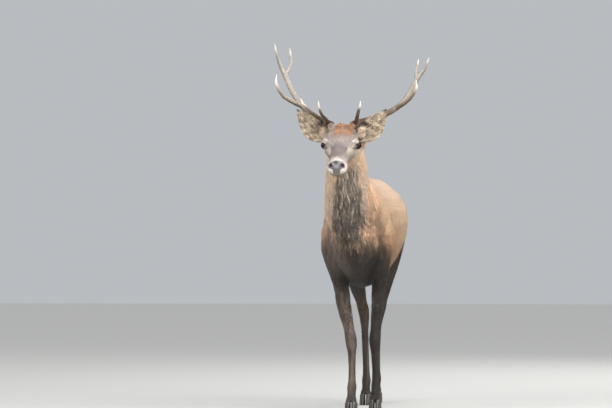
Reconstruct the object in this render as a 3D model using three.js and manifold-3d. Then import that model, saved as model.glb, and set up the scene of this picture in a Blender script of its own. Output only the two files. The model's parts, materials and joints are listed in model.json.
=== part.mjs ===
// A red deer stag (Cervus elaphus) as a still, life-size figure in mid-walk.
// Millimetres, +Z up. The stag faces -Y and its left side is +X.
import * as THREE from 'three';
import { mergeVertices } from 'three/addons/utils/BufferGeometryUtils.js';
import Module from 'manifold-3d';

const wasm = await Module();
wasm.setup();

// ---- driving dimensions -------------------------------------------------------

const withersHeight = 1200;
const size = withersHeight / 1200;     // the tables below are drawn for 1200 mm
const cutGap = 0.3;                    // the gap left between two neighbouring parts
const sliver = 0.05;                   // cuts leave no faces thinner than this
const bodyTolerance = 1.6;             // flat enough neighbours of the hide are merged
const noseTip = { x: -51, y: -640, z: 1235 };
const headPitch = 30;                  // degrees, nose below level
const eyeRadius = 19;
const eyePlace = { along: 234, up: -8, out: 78 };
const burrPlace = { y: -375, z: 1454, right: -111, left: 12 };
const bodySides = 20;
const limbSides = 10;
const beamSides = 8;
const tineSides = 6;
const beamRings = 17;
const tineRings = 6;
const earArcPoints = 6;                // across the ear, once on each face

// ---- colours and finishes -----------------------------------------------------

function finish(color, roughness) {
  return new THREE.MeshStandardMaterial({ color, roughness, metalness: 0 });
}
const flankCoat = () => finish(0xb98a5e, 0.95);
const neckCoat = () => finish(0x8f6d48, 0.95);
const faceCoat = () => finish(0x8c7a6c, 0.95);
const darkCoat = () => finish(0x4a3b33, 0.95);
const antlerBone = () => finish(0xb5a48e, 0.6);
const hornBlack = () => finish(0x25201d, 0.45);
const eyeDark = () => finish(0x120c08, 0.08);

// ---- solids -------------------------------------------------------------------

function solidFrom(geometry) {
  const bare = geometry.clone();
  bare.deleteAttribute('normal');
  bare.deleteAttribute('uv');
  const merged = mergeVertices(bare, 1e-3);
  const triVerts = Uint32Array.from(merged.index.array);
  const vertProperties = Float32Array.from(merged.attributes.position.array);
  const solid = new wasm.Manifold(new wasm.Mesh({ numProp: 3, vertProperties, triVerts }));
  if (solid.volume() > 0) {
    return solid;
  }
  for (let i = 0; i < triVerts.length; i += 3) {
    [triVerts[i], triVerts[i + 1]] = [triVerts[i + 1], triVerts[i]];
  }
  return new wasm.Manifold(new wasm.Mesh({ numProp: 3, vertProperties, triVerts }));
}

// Skins a row of rings, each with the same number of points, and closes both ends.
function skinRings(rings) {
  const sides = rings[0].length;
  const points = rings.flat();
  const index = [];
  for (let r = 0; r + 1 < rings.length; r += 1) {
    for (let i = 0; i < sides; i += 1) {
      const a = r * sides + i;
      const b = r * sides + ((i + 1) % sides);
      index.push(a, b, a + sides, b, b + sides, a + sides);
    }
  }
  for (const end of [0, rings.length - 1]) {
    const middle = new THREE.Vector3();
    rings[end].forEach((p) => middle.addScaledVector(p, 1 / sides));
    points.push(middle);
    const hub = points.length - 1;
    for (let i = 0; i < sides; i += 1) {
      const a = end * sides + i;
      const b = end * sides + ((i + 1) % sides);
      index.push(...(end === 0 ? [b, a, hub] : [a, b, hub]));
    }
  }
  const geometry = new THREE.BufferGeometry().setFromPoints(points);
  geometry.setIndex(index);
  return solidFrom(geometry);
}

// Turns table rows into sections and adds steps between them on a smooth spline.
function smoothSections(columns, rows, steps) {
  const knots = rows.map((row) => Object.fromEntries(columns.map((name, i) => [name, row[i]])));
  const sections = [];
  for (let k = 0; k + 1 < knots.length; k += 1) {
    const nearest = (n) => knots[THREE.MathUtils.clamp(n, 0, knots.length - 1)];
    const around = [k - 1, k, k + 1, k + 2].map(nearest);
    for (let s = 0; s < steps; s += 1) {
      sections.push(blendSection(around, s / steps));
    }
  }
  sections.push(knots[knots.length - 1]);
  return sections;
}

function blendSection([before, from, to, after], t) {
  const mixed = {};
  for (const name of Object.keys(from)) {
    const slopeIn = (to[name] - before[name]) / 2;
    const slopeOut = (after[name] - from[name]) / 2;
    const rise = to[name] - from[name];
    const square = 3 * rise - 2 * slopeIn - slopeOut;
    const cube = slopeIn + slopeOut - 2 * rise;
    mixed[name] = from[name] + t * (slopeIn + t * (square + t * cube));
  }
  return mixed;
}

// One section of the body: an egg outline in a plane that is tipped by its pitch.
// high and low reach to either side of the widest level, ridge and keel narrow them.
function sectionRing(section, sides, grow) {
  const { x, y, z, pitch, wide, high, low, ridge = 0, keel = 0 } = section;
  const tip = THREE.MathUtils.degToRad(pitch);
  const ring = [];
  for (let i = 0; i < sides; i += 1) {
    const angle = (i / sides) * Math.PI * 2;
    const rise = Math.cos(angle);
    const reach = rise * ((rise > 0 ? high : low) + grow);
    const pinch = 1 - (rise > 0 ? ridge : keel) * rise * rise;
    const across = Math.sin(angle) * (wide + grow) * pinch;
    ring.push(new THREE.Vector3(x + across, y - Math.sin(tip) * reach, z + Math.cos(tip) * reach));
  }
  return ring;
}

function loft(columns, rows, { sides = bodySides, steps = 1, grow = 0, mirror = 1 } = {}) {
  const sections = smoothSections(columns, rows, steps);
  return skinRings(sections.map((section) => {
    return sectionRing({ ...section, x: (section.x ?? 0) * mirror }, sides, grow);
  }));
}

function ellipsoid(center, radii, { pitch = 0, around = 12 } = {}) {
  const geometry = new THREE.SphereGeometry(1, around, Math.round(around * 0.6));
  geometry.scale(...radii);
  geometry.rotateX(THREE.MathUtils.degToRad(pitch));
  geometry.translate(...center);
  return solidFrom(geometry);
}

function curveThrough(points) {
  const knots = points.map((point) => new THREE.Vector3(...point));
  return new THREE.CatmullRomCurve3(knots, false, 'centripetal');
}

// A tapering tube through a few points, with its radius given at each of them.
function taperedTube(points, radii, { sides, rings, grow = 0 }) {
  const curve = curveThrough(points);
  const frames = curve.computeFrenetFrames(rings);
  const loops = [];
  for (let r = 0; r <= rings; r += 1) {
    const center = curve.getPointAt(r / rings);
    const place = curve.getUtoTmapping(r / rings) * (radii.length - 1);
    const low = Math.min(Math.floor(place), radii.length - 2);
    const radius = THREE.MathUtils.lerp(radii[low], radii[low + 1], place - low) + grow;
    const loop = [];
    for (let i = 0; i < sides; i += 1) {
      const angle = (i / sides) * Math.PI * 2;
      const spoke = center.clone();
      spoke.addScaledVector(frames.normals[r], Math.cos(angle) * radius);
      spoke.addScaledVector(frames.binormals[r], Math.sin(angle) * radius);
      loop.push(spoke);
    }
    loops.push(loop);
  }
  return skinRings(loops);
}

// ---- cuts ---------------------------------------------------------------------

// Everything behind a plane, as a block 6 m wide; the normal points out of it.
function behindPlane({ at, normal }, grow) {
  const reach = 6000;
  const block = new THREE.BoxGeometry(reach, reach, reach);
  const out = new THREE.Vector3(...normal).normalize();
  block.translate(0, 0, grow - reach / 2);
  block.applyQuaternion(new THREE.Quaternion().setFromUnitVectors(new THREE.Vector3(0, 0, 1), out));
  block.translate(...at);
  return solidFrom(block);
}

function cell(planes, grow) {
  return planes.map((plane) => behindPlane(plane, grow)).reduce((a, b) => a.intersect(b));
}

// Takes out of a solid what lies behind all the planes, and leaves the gap beside it.
function takeOut(solid, planes) {
  return [solid.intersect(cell(planes, 0)), solid.subtract(cell(planes, cutGap))];
}

const joined = (solids) => solids.reduce((a, b) => a.add(b));

// A plane from side to side through two points, given as [y, z] from the upper one
// down to the lower one. What is taken out lies to its rear.
function planeThrough([upperY, upperZ], [lowerY, lowerZ]) {
  return { at: [0, upperY, upperZ], normal: [0, lowerZ - upperZ, upperY - lowerY] };
}

// ---- trunk, neck and tail -----------------------------------------------------

const trunkColumns = ['y', 'z', 'wide', 'high', 'low', 'keel', 'ridge', 'pitch'];
const trunkRows = [
  [938, 1005, 30, 30, 45, 0, 0, 0],
  [912, 995, 88, 78, 120, 0, 0, 0],
  [868, 988, 132, 132, 200, 0.1, 0.05, 0],
  [795, 985, 166, 186, 240, 0.2, 0.1, 0],
  [700, 990, 187, 210, 262, 0.25, 0.15, 0],
  [580, 990, 204, 212, 284, 0.25, 0.2, 0],
  [460, 980, 217, 205, 306, 0.22, 0.2, 0],
  [340, 970, 216, 203, 324, 0.2, 0.2, 0],
  [220, 962, 206, 215, 333, 0.2, 0.25, 0],
  [110, 955, 190, 238, 329, 0.22, 0.4, 0],
  [10, 945, 172, 254, 310, 0.25, 0.45, 0],
  [-90, 930, 157, 236, 281, 0.25, 0.3, 0],
  [-180, 915, 140, 180, 228, 0.2, 0.1, 0],
  [-255, 900, 116, 125, 165, 0.1, 0, 0],
  [-308, 888, 78, 80, 100, 0, 0, 0],
  [-332, 880, 30, 30, 40, 0, 0, 0],
];
const trunk = loft(trunkColumns, trunkRows);

const neckColumns = ['x', 'y', 'z', 'pitch', 'wide', 'high', 'low', 'ridge', 'keel'];
const neckRows = [
  [-46, -372, 1352, -20, 62, 50, 72, 0, 0],
  [-40, -334, 1338, -24, 88, 98, 112, 0.15, 0.1],
  [-34, -317, 1270, -36, 98, 138, 141, 0.2, 0.12],
  [-32, -292, 1194, -43, 107, 168, 166, 0.25, 0.12],
  [-32, -255, 1122, -47, 115, 191, 190, 0.3, 0.12],
  [-25, -205, 1062, -49, 125, 222, 218, 0.35, 0.12],
  [-11, -145, 1015, -50, 138, 255, 250, 0.35, 0.12],
  [0, -40, 965, -50, 120, 180, 180, 0.2, 0.1],
];
const neck = (grow) => loft(neckColumns, neckRows, { steps: 2, grow });

const tailColumns = ['y', 'z', 'pitch', 'wide', 'high', 'low'];
const tailRows = [
  [872, 1076, 20, 24, 18, 16],
  [918, 1060, 42, 30, 20, 18],
  [950, 1020, 72, 34, 20, 18],
  [958, 970, 84, 34, 18, 17],
  [957, 925, 88, 27, 14, 14],
  [953, 890, 88, 10, 6, 6],
];
const tail = (grow) => loft(tailColumns, tailRows, { sides: 10, grow });

// The sheath under the belly of a male.
const sheath = ellipsoid([0, 520, 700], [28, 60, 26], { pitch: 12, around: 10 });

// ---- legs ---------------------------------------------------------------------
// Rows run down the leg: its middle, how the section is tipped, its half width,
// and its reach to the front and to the back.

const limbColumns = ['x', 'y', 'z', 'pitch', 'wide', 'high', 'low'];
const shoulderRows = [
  [80, 35, 1110, 90, 30, 50, 50],
  [106, -5, 1010, 90, 54, 92, 92],
  [126, -58, 905, 90, 59, 116, 118],
  [123, -72, 820, 90, 58, 112, 124],
  [108, -58, 740, 90, 54, 88, 104],
];
const foreRight = [
  ...shoulderRows,
  [92, -45, 675, 90, 46, 60, 68],
  [82, -48, 615, 90, 40, 50, 50],
  [74, -55, 552, 90, 40, 43, 40],
  [60, -66, 490, 90, 35, 36, 35],
  [43, -80, 425, 90, 28, 30, 30],
  [33, -91, 378, 90, 31, 33, 32],
  [29, -97, 342, 90, 29, 31, 32],
  [26, -105, 300, 90, 21, 23, 26],
  [24, -118, 215, 90, 18, 20, 23],
  [23, -130, 158, 90, 20, 23, 27],
  [23, -136, 130, 95, 25, 26, 31],
  [23, -155, 92, 112, 22, 20, 25],
  [23, -176, 62, 112, 30, 28, 30],
  [23, -188, 38, 108, 26, 26, 26],
];
const foreLeft = [
  ...shoulderRows,
  [114, -34, 675, 90, 47, 62, 68],
  [107, -18, 615, 90, 42, 52, 50],
  [101, -6, 545, 90, 38, 44, 41],
  [92, 4, 480, 90, 33, 36, 35],
  [84, 12, 418, 90, 28, 30, 30],
  [80, 17, 376, 90, 31, 34, 32],
  [79, 22, 342, 88, 29, 31, 32],
  [79, 31, 300, 86, 21, 23, 26],
  [80, 48, 215, 84, 18, 20, 23],
  [80, 59, 158, 86, 20, 23, 27],
  [80, 62, 130, 98, 25, 26, 31],
  [80, 45, 92, 116, 22, 20, 25],
  [80, 24, 62, 114, 30, 28, 30],
  [80, 12, 38, 108, 26, 26, 26],
];
const thighRows = [
  [78, 800, 1090, 90, 40, 66, 66],
  [100, 775, 1010, 90, 74, 140, 112],
  [110, 750, 915, 90, 74, 166, 146],
];
const hindRight = [
  ...thighRows,
  [108, 728, 825, 90, 68, 158, 142],
  [101, 724, 745, 92, 58, 150, 128],
  [91, 748, 672, 98, 48, 120, 98],
  [79, 790, 606, 102, 38, 84, 74],
  [68, 829, 548, 102, 29, 54, 54],
  [59, 852, 505, 94, 31, 40, 49],
  [53, 851, 462, 86, 27, 33, 37],
  [49, 836, 405, 82, 20, 26, 26],
  [43, 808, 300, 80, 18, 22, 23],
  [37, 782, 205, 80, 18, 21, 23],
  [35, 772, 158, 84, 20, 23, 27],
  [34, 766, 130, 94, 25, 26, 31],
  [34, 748, 92, 112, 22, 20, 25],
  [34, 727, 62, 112, 30, 28, 30],
  [34, 715, 38, 108, 26, 26, 26],
];
const hindLeft = [
  ...thighRows,
  [98, 758, 825, 88, 64, 156, 138],
  [83, 778, 745, 88, 55, 148, 128],
  [65, 828, 672, 92, 46, 120, 98],
  [47, 893, 606, 96, 36, 84, 73],
  [32, 949, 548, 98, 29, 54, 53],
  [20, 985, 505, 92, 31, 40, 49],
  [11, 994, 462, 88, 27, 33, 37],
  [4, 1000, 405, 86, 20, 26, 26],
  [0, 1015, 300, 84, 18, 22, 23],
  [-2, 1030, 205, 84, 18, 21, 23],
  [-3, 1036, 158, 86, 20, 23, 27],
  [-3, 1036, 130, 96, 25, 26, 31],
  [-3, 1018, 92, 114, 22, 20, 25],
  [-3, 997, 62, 114, 30, 28, 30],
  [-3, 985, 38, 108, 26, 26, 26],
];

// Two small horn knobs behind each fetlock.
function dewclaws([x, y, z]) {
  const knob = (side) => ellipsoid([x + side * 13, y + 20, z - 12], [9, 14, 16], { pitch: 25, around: 6 });
  return knob(-1).add(knob(1));
}

// One claw of a cloven hoof. Its sole is a flat at floor level and its wall leans back.
// side is +1 for the claw on the +X half; the two are a cleft apart.
function hoofClaw([x, y], side) {
  const cleft = 2;
  const levels = [
    { z: 0, toe: 50, heel: 33, wide: 30 },
    { z: 12, toe: 47, heel: 34, wide: 31 },
    { z: 38, toe: 34, heel: 32, wide: 30 },
    { z: 76, toe: 12, heel: 28, wide: 28 },
  ];
  const rings = levels.map(({ z, toe, heel, wide }) => {
    const ring = [];
    const points = 10;
    for (let i = 0; i < points; i += 1) {
      const angle = (i / points) * Math.PI * 2;
      const along = Math.cos(angle) > 0 ? toe : heel;
      const narrow = Math.cos(angle) > 0 ? 1 - 0.35 * Math.cos(angle) ** 2 : 1;
      const across = wide * (0.5 - 0.5 * Math.sin(angle)) * narrow;
      ring.push(new THREE.Vector3(x + side * (cleft + across), y - Math.cos(angle) * along, z));
    }
    return ring;
  });
  return skinRings(rings);
}

const legs = {
  foreRight: { rows: foreRight, mirror: -1, foot: [-23, -176], fetlock: [-23, -136, 130] },
  foreLeft: { rows: foreLeft, mirror: 1, foot: [80, 24], fetlock: [80, 62, 130] },
  hindRight: { rows: hindRight, mirror: -1, foot: [-34, 727], fetlock: [-34, 766, 130] },
  hindLeft: { rows: hindLeft, mirror: 1, foot: [-3, 997], fetlock: [-3, 1036, 130] },
};

function limb({ rows, mirror, fetlock }) {
  return loft(limbColumns, rows, { sides: limbSides, mirror }).add(dewclaws(fetlock));
}

// ---- head ---------------------------------------------------------------------
// Places on the head are given from the nose tip: along the face to the back, and
// up at right angles to that.

const headTilt = THREE.MathUtils.degToRad(headPitch);
const alongFace = [0, Math.cos(headTilt), Math.sin(headTilt)];
const upFromFace = [0, -Math.sin(headTilt), Math.cos(headTilt)];

function onHead(along, up, out = 0) {
  const back = along * alongFace[1] + up * upFromFace[1];
  const rise = along * alongFace[2] + up * upFromFace[2];
  return [noseTip.x + out, noseTip.y + back, noseTip.z + rise];
}

// along, level of the widest line, half width, top and bottom, ridge, keel
const headRows = [
  [0, -24, 25, -6, -42, 0, 0],
  [6, -24, 40, 8, -51, 0, 0],
  [15, -25, 48, 17, -58, 0, 0],
  [28, -27, 51, 22, -72, 0, 0.1],
  [52, -27, 51, 27, -79, 0.1, 0.2],
  [90, -24, 47, 30, -83, 0.3, 0.3],
  [130, -18, 50, 33, -91, 0.35, 0.35],
  [170, -10, 60, 38, -102, 0.3, 0.4],
  [205, -8, 76, 45, -112, 0.15, 0.4],
  [235, -9, 85, 53, -120, 0.05, 0.4],
  [270, -9, 85, 60, -127, 0, 0.4],
  [310, -8, 80, 60, -132, 0, 0.3],
  [345, -8, 72, 56, -124, 0, 0.2],
  [380, -16, 62, 38, -104, 0, 0.1],
  [404, -22, 34, 10, -70, 0, 0],
];
const skullColumns = ['x', 'y', 'z', 'pitch', 'wide', 'high', 'low', 'ridge', 'keel'];
const skullRows = headRows.map(([along, level, wide, top, bottom, ridge, keel]) => {
  return [...onHead(along, level), headPitch, wide, top - level, level - bottom, ridge, keel];
});

function headSolid(grow) {
  const bigger = (radii) => radii.map((radius) => radius + grow);
  const parts = [loft(skullColumns, skullRows, { grow })];
  for (const side of [-1, 1]) {
    const orbit = onHead(236, 6, side * 69);
    parts.push(ellipsoid(orbit, bigger([27, 40, 30]), { pitch: headPitch, around: 10 }));
    const pedicle = [onHead(325, 20, side * 46), onHead(331, 71, side * 59)];
    parts.push(taperedTube(pedicle, [22, 18], { sides: 12, rings: 2, grow }));
  }
  return joined(parts);
}

function eyeball(side, grow) {
  const center = onHead(eyePlace.along, eyePlace.up, side * eyePlace.out);
  return ellipsoid(center, [eyeRadius + grow, eyeRadius + grow, eyeRadius + grow], { around: 10 });
}

// An ear is a leaf rolled into a scoop that opens to the front. Each ring is a
// crescent: the back of the ear one way, the inside of the scoop the other way.
const earMiddle = 3;                   // the ears' middle line, beside the nose tip's
const earRoot = [64, -340, 1376];      // out from that middle line, y, z
const earBelly = [148, -384, 1406];
const earTip = [226, -392, 1531];
const earRows = [
  // half width, depth of the back, depth of the inside
  [20, 24, 6],
  [29, 32, 12],
  [41, 34, 22],
  [53, 31, 22],
  [56, 26, 18],
  [51, 20, 13.5],
  [38, 14, 9],
  [22, 8, 4.5],
  [4, 3, 1],
];

function ear(side) {
  const place = ([out, y, z]) => new THREE.Vector3(noseTip.x + earMiddle + side * out, y, z);
  const facing = new THREE.Vector3(-side * 0.25, 1, -0.1);
  const spine = new THREE.QuadraticBezierCurve3(place(earRoot), place(earBelly), place(earTip));
  const rings = smoothSections(['wide', 'back', 'inside'], earRows, 1).map((row, n) => {
    const t = n / (earRows.length - 1);
    const center = spine.getPoint(t);
    const along = spine.getTangent(t);
    const behind = facing.clone().cross(along).cross(along).normalize().negate();
    const across = along.clone().cross(behind);
    const arc = (wide, depth, from, to) => {
      const points = [];
      for (let i = 0; i < earArcPoints; i += 1) {
        const angle = THREE.MathUtils.lerp(from, to, i / (earArcPoints - 1));
        const point = center.clone().addScaledVector(across, Math.sin(angle) * wide);
        points.push(point.addScaledVector(behind, Math.cos(angle) * depth));
      }
      return points;
    };
    const rim = Math.PI / 2;
    const inner = arc(row.wide * 0.9, row.inside, rim, -rim);
    return [...arc(row.wide, row.back, -rim, rim), ...inner];
  });
  return skinRings(rings);
}

// ---- antlers ------------------------------------------------------------------
// Points are measured from the middle of the burr: outwards, back and up.

const rightAntler = {
  side: -1,
  burr: [burrPlace.right, burrPlace.y, burrPlace.z],
  beam: [[-9, -3, -10], [3, 2, -2], [52, 40, 24], [102, 86, 55], [150, 121, 92], [184, 145, 134],
    [211, 155, 178], [230, 160, 219], [244, 157, 256], [262, 143, 290], [277, 115, 340], [287, 76, 409]],
  beamRadii: [23, 23, 15, 14.5, 14.5, 13.5, 13, 13, 13.5, 9.5, 7, 1.5],
  trezCut: 0.50,
  forkCut: 0.70,
  tines: {
    brow: { points: [[4, 4, 4], [12, -35, 21], [33, -68, 46], [43, -93, 76], [46, -107, 111]],
      radii: [12, 10, 8, 6, 1.5] },
    bez: { points: [[28, 19, 13], [66, -27, 44], [99, -49, 69], [126, -67, 98], [138, -80, 126]],
      radii: [11, 9, 8, 6, 1.5] },
    trez: { points: [[150, 121, 92], [206, 58, 120], [240, 25, 144], [259, 3, 175], [269, -15, 210],
      [264, -27, 249]], radii: [12, 10.5, 9.5, 8.5, 6.5, 1.5] },
    top_inner: { points: [[244, 157, 256], [226, 168, 285], [215, 170, 312], [216, 167, 354],
      [219, 153, 388]], radii: [11, 9, 8, 6, 1.5] },
  },
};
const leftAntler = {
  side: 1,
  burr: [burrPlace.left, burrPlace.y, burrPlace.z],
  beam: [[-9, -3, -10], [3, 2, -2], [51, 42, 17], [108, 88, 37], [165, 121, 62], [208, 142, 92],
    [247, 153, 131], [276, 161, 181], [300, 160, 226], [318, 155, 252], [340, 145, 276], [366, 113, 335]],
  beamRadii: [23, 23, 15, 14.5, 14.5, 14, 13.5, 13, 13, 11, 8.5, 1.5],
  trezCut: 0.56,
  forkCut: 0.79,
  tines: {
    brow: { points: [[4, 4, 4], [16, -40, 21], [28, -75, 60], [38, -93, 88], [42, -103, 111]],
      radii: [12, 10, 8, 6, 1.5] },
    trez: { points: [[196, 137, 82], [240, 95, 104], [272, 65, 126], [297, 36, 155], [312, 14, 188],
      [310, 0, 219]], radii: [12, 10.5, 9.5, 8.5, 6.5, 1.5] },
    top_inner: { points: [[300, 160, 226], [298, 163, 262], [303, 163, 296], [311, 153, 330]],
      radii: [10, 8.5, 6.5, 1.5] },
  },
};

function fromBurr({ side, burr }, points) {
  return points.map(([out, back, up]) => [burr[0] + side * out, burr[1] + back, burr[2] + up]);
}

function beamTube(antler, grow) {
  const path = fromBurr(antler, antler.beam);
  return taperedTube(path, antler.beamRadii, { sides: beamSides, rings: beamRings, grow });
}

function tineTube(antler, { points, radii }, grow) {
  return taperedTube(fromBurr(antler, points), radii, { sides: tineSides, rings: tineRings, grow });
}

// The beam with its burr, cut above the trez tine and at the top fork, and its tines,
// each cut to the beam it grows from.
function antlerParts(antler, headGrown) {
  const { beam, trezCut, forkCut, tines } = antler;
  const curve = curveThrough(fromBurr(antler, beam));
  const cutAcross = (t) => {
    return { at: curve.getPointAt(t).toArray(), normal: curve.getTangentAt(t).toArray() };
  };
  const bare = beamTube(antler, 0).subtract(headGrown);
  const [lower, rest] = takeOut(bare, [cutAcross(trezCut)]);
  const [upper, outerTop] = takeOut(rest, [cutAcross(forkCut)]);
  const pieces = { beam_lower: lower, beam_upper: upper, top_outer: outerTop };
  for (const [name, tine] of Object.entries(tines)) {
    pieces[name] = tineTube(antler, tine, 0).subtract(beamTube(antler, cutGap)).subtract(headGrown);
  }
  return pieces;
}

// ---- the whole animal, then its parts -----------------------------------------

const parts = [];
function part(name, solid, material) {
  parts.push({ name, solid, material });
}

const headGrown = headSolid(cutGap);
const neckGrown = neck(cutGap);

let body = joined([trunk, neck(0), headSolid(0), sheath, ...Object.values(legs).map(limb)]);
body = body.simplify(bodyTolerance);
body = body.subtract(tail(cutGap)).subtract(eyeball(-1, cutGap)).subtract(eyeball(1, cutGap));

part('tail', tail(0), neckCoat());

// The coronet, where horn meets hide: it slopes down to the heel.
const coronetOver = ([x, y]) => ({ at: [x, y, 56], normal: [0, 0.28, 0.96] });

// Feet: the claws stop under the coronet, and the pastern ends above it.
for (const [leg, { foot, mirror }] of Object.entries(legs)) {
  const [end, place] = [leg.slice(0, 4), leg.slice(4).toLowerCase()];
  for (const side of [-1, 1]) {
    const half = side === mirror ? 'outer' : 'inner';
    const claw = hoofClaw(foot, side).intersect(behindPlane(coronetOver(foot), -cutGap));
    part(`hoof_${end}_${place}_${half}`, claw, hornBlack());
  }
}

// Takes a leg off the body and cuts it across at the given levels, from the foot up.
function takeLeg(leg, below, cuts, names) {
  let rest = null;
  [rest, body] = takeOut(body, below);
  rest = rest.subtract(behindPlane(coronetOver(legs[leg].foot), 0));
  cuts.forEach((z, i) => {
    let piece = null;
    [piece, rest] = takeOut(rest, [{ at: [0, 0, z], normal: [0, 0, 1] }]);
    part(`${names}_${['pastern', 'cannon', 'gaskin'][i]}`, piece, darkCoat());
  });
  part(`${names}_${leg.startsWith('fore') ? 'forearm' : 'thigh'}`, rest, darkCoat());
}

const foreMiddle = { at: [25, 0, 0], normal: [1, 0, 0] };
const hindMiddle = { at: [-8, 850, 0], normal: [1, 0.3, 0] };
const flipped = ({ at, normal }) => ({ at, normal: normal.map((n) => -n) });
const slope = [0.64, 0.77];            // the legs' upper ends, out against up
const frontHalf = { at: [0, 330, 0], normal: [0, 1, 0] };
const rearHalf = { at: [0, 500, 0], normal: [0, -1, 0] };
const armpitRight = { at: [-30, 0, 600], normal: [slope[0], 0, slope[1]] };
const armpitLeft = { at: [62, 0, 600], normal: [-slope[0], 0, slope[1]] };
const groinRight = { at: [-20, 0, 640], normal: [slope[0], 0, slope[1]] };
const groinLeft = { at: [20, 0, 640], normal: [-slope[0], 0, slope[1]] };

takeLeg('foreRight', [armpitRight, frontHalf, foreMiddle], [165, 330], 'foreleg_right');
takeLeg('foreLeft', [armpitLeft, frontHalf, flipped(foreMiddle)], [165, 330], 'foreleg_left');
takeLeg('hindRight', [groinRight, rearHalf, hindMiddle], [165, 455, 620], 'hindleg_right');
takeLeg('hindLeft', [groinLeft, rearHalf, flipped(hindMiddle)], [165, 455, 620], 'hindleg_left');

const behindNeck = planeThrough([-20, 1205], [-370, 900]);
const midNeck = planeThrough([-176, 1318], [-408, 1070]);
const behindHead = planeThrough([-284, 1452], [-378, 1240]);
let torso = null;
let lowerNeck = null;
let upperNeck = null;
let head = null;
[torso, head] = takeOut(body, [behindNeck]);
[lowerNeck, head] = takeOut(head, [midNeck]);
[upperNeck, head] = takeOut(head, [behindHead]);
part('neck_lower', lowerNeck, neckCoat());
part('neck_upper', upperNeck, neckCoat());

const muzzleEnd = { at: onHead(112, 0), normal: alongFace };
const mouth = { at: onHead(0, -50), normal: upFromFace };
let muzzle = null;
let jaw = null;
[muzzle, head] = takeOut(head, [muzzleEnd]);
[jaw, muzzle] = takeOut(muzzle, [mouth]);
part('lower_jaw', jaw, faceCoat());
part('muzzle', muzzle, faceCoat());
part('head', head, faceCoat());

let chest = null;
let barrel = null;
let rump = null;
[rump, torso] = takeOut(torso, [{ at: [0, 600, 0], normal: [0, -1, 0] }]);
[barrel, chest] = takeOut(torso, [{ at: [0, 200, 0], normal: [0, -1, 0] }]);
part('chest', chest, flankCoat());
part('barrel', barrel, flankCoat());
part('rump', rump, flankCoat());

for (const [side, label, horns] of [[-1, 'right', rightAntler], [1, 'left', leftAntler]]) {
  part(`eye_${label}`, eyeball(side, 0), eyeDark());
  const tines = Object.values(horns.tines).map((tine) => tineTube(horns, tine, cutGap));
  const nearEar = joined([headGrown, neckGrown, beamTube(horns, cutGap), ...tines]);
  part(`ear_${label}`, ear(side).subtract(nearEar), faceCoat());
  for (const [name, solid] of Object.entries(antlerParts(horns, headGrown))) {
    part(`antler_${label}_${name}`, solid, antlerBone());
  }
}

// ---- scene graph --------------------------------------------------------------

function meshFrom({ name, solid, material }) {
  const { vertProperties, triVerts } = solid.simplify(sliver).getMesh();
  const geometry = new THREE.BufferGeometry();
  geometry.setAttribute('position', new THREE.BufferAttribute(vertProperties, 3));
  geometry.setIndex(new THREE.BufferAttribute(triVerts, 1));
  geometry.computeVertexNormals();
  const mesh = new THREE.Mesh(geometry, material);
  mesh.name = name;
  return mesh;
}

const stag = new THREE.Group();
parts.forEach((piece) => stag.add(meshFrom(piece)));

// The origin is under the middle of the bounding box, on the floor.
const bounds = new THREE.Box3().setFromObject(stag);
const middle = bounds.getCenter(new THREE.Vector3());
stag.position.set(-middle.x * size, -middle.y * size, -bounds.min.z * size);
stag.scale.setScalar(size);

export default stag;
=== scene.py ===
import json
import math

import bpy
import numpy as np
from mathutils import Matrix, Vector
from mathutils.bvhtree import BVHTree

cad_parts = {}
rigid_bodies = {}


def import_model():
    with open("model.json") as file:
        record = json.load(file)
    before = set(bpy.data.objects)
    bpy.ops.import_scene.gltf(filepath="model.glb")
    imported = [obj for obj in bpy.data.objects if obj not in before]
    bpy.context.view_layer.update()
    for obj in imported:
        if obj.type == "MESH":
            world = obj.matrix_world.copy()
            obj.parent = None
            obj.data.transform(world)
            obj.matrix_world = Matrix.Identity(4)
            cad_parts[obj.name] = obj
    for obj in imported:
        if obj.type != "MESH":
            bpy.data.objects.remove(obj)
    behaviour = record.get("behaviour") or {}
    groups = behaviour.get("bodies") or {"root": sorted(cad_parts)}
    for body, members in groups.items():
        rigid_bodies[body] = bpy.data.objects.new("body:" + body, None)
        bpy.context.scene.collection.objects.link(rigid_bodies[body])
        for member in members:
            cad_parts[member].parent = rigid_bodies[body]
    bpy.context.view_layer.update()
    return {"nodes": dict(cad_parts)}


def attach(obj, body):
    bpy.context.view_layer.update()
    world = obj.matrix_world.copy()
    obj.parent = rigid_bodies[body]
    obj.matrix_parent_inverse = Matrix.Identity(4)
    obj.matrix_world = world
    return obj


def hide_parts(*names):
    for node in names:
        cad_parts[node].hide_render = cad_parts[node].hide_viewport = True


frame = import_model()


def deselectAll():
    for thing in bpy.context.view_layer.objects:
        thing.select_set(False)


def makeActive(piece):
    deselectAll()
    piece.select_set(True)
    bpy.context.view_layer.objects.active = piece


def added(primitive, **settings):
    # a new primitive, with nothing else selected
    deselectAll()
    primitive(**settings)
    return bpy.context.object


def intoScene(thing):
    bpy.context.scene.collection.objects.link(thing)


def setMode(mode):
    bpy.ops.object.mode_set(mode=mode)


def fromScreen(red, green, blue):
    # a colour as picked on screen, 0 to 255, turned into scene linear
    def one(value):
        value /= 255
        return value / 12.92 if value <= 0.04045 else ((value + 0.055) / 1.055) ** 2.4
    return np.array([one(red), one(green), one(blue)])


def smooth(low, high, value):
    t = np.clip((value - low) / (high - low), 0, 1)
    return t * t * (3 - 2 * t)


def unit(vectors):
    return vectors / np.maximum(np.linalg.norm(vectors, axis=-1, keepdims=True), 1e-9)


def readOut(items, name, width=1, kind=float):
    # all the items' values in one array, a row each
    flat = np.empty(len(items) * width, dtype=kind)
    items.foreach_get(name, flat)
    return flat.reshape(-1, width)


def pointsOf(mesh):
    return readOut(mesh.vertices, "co", 3)


def normalsOf(mesh):
    return readOut(mesh.vertices, "normal", 3)


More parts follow.
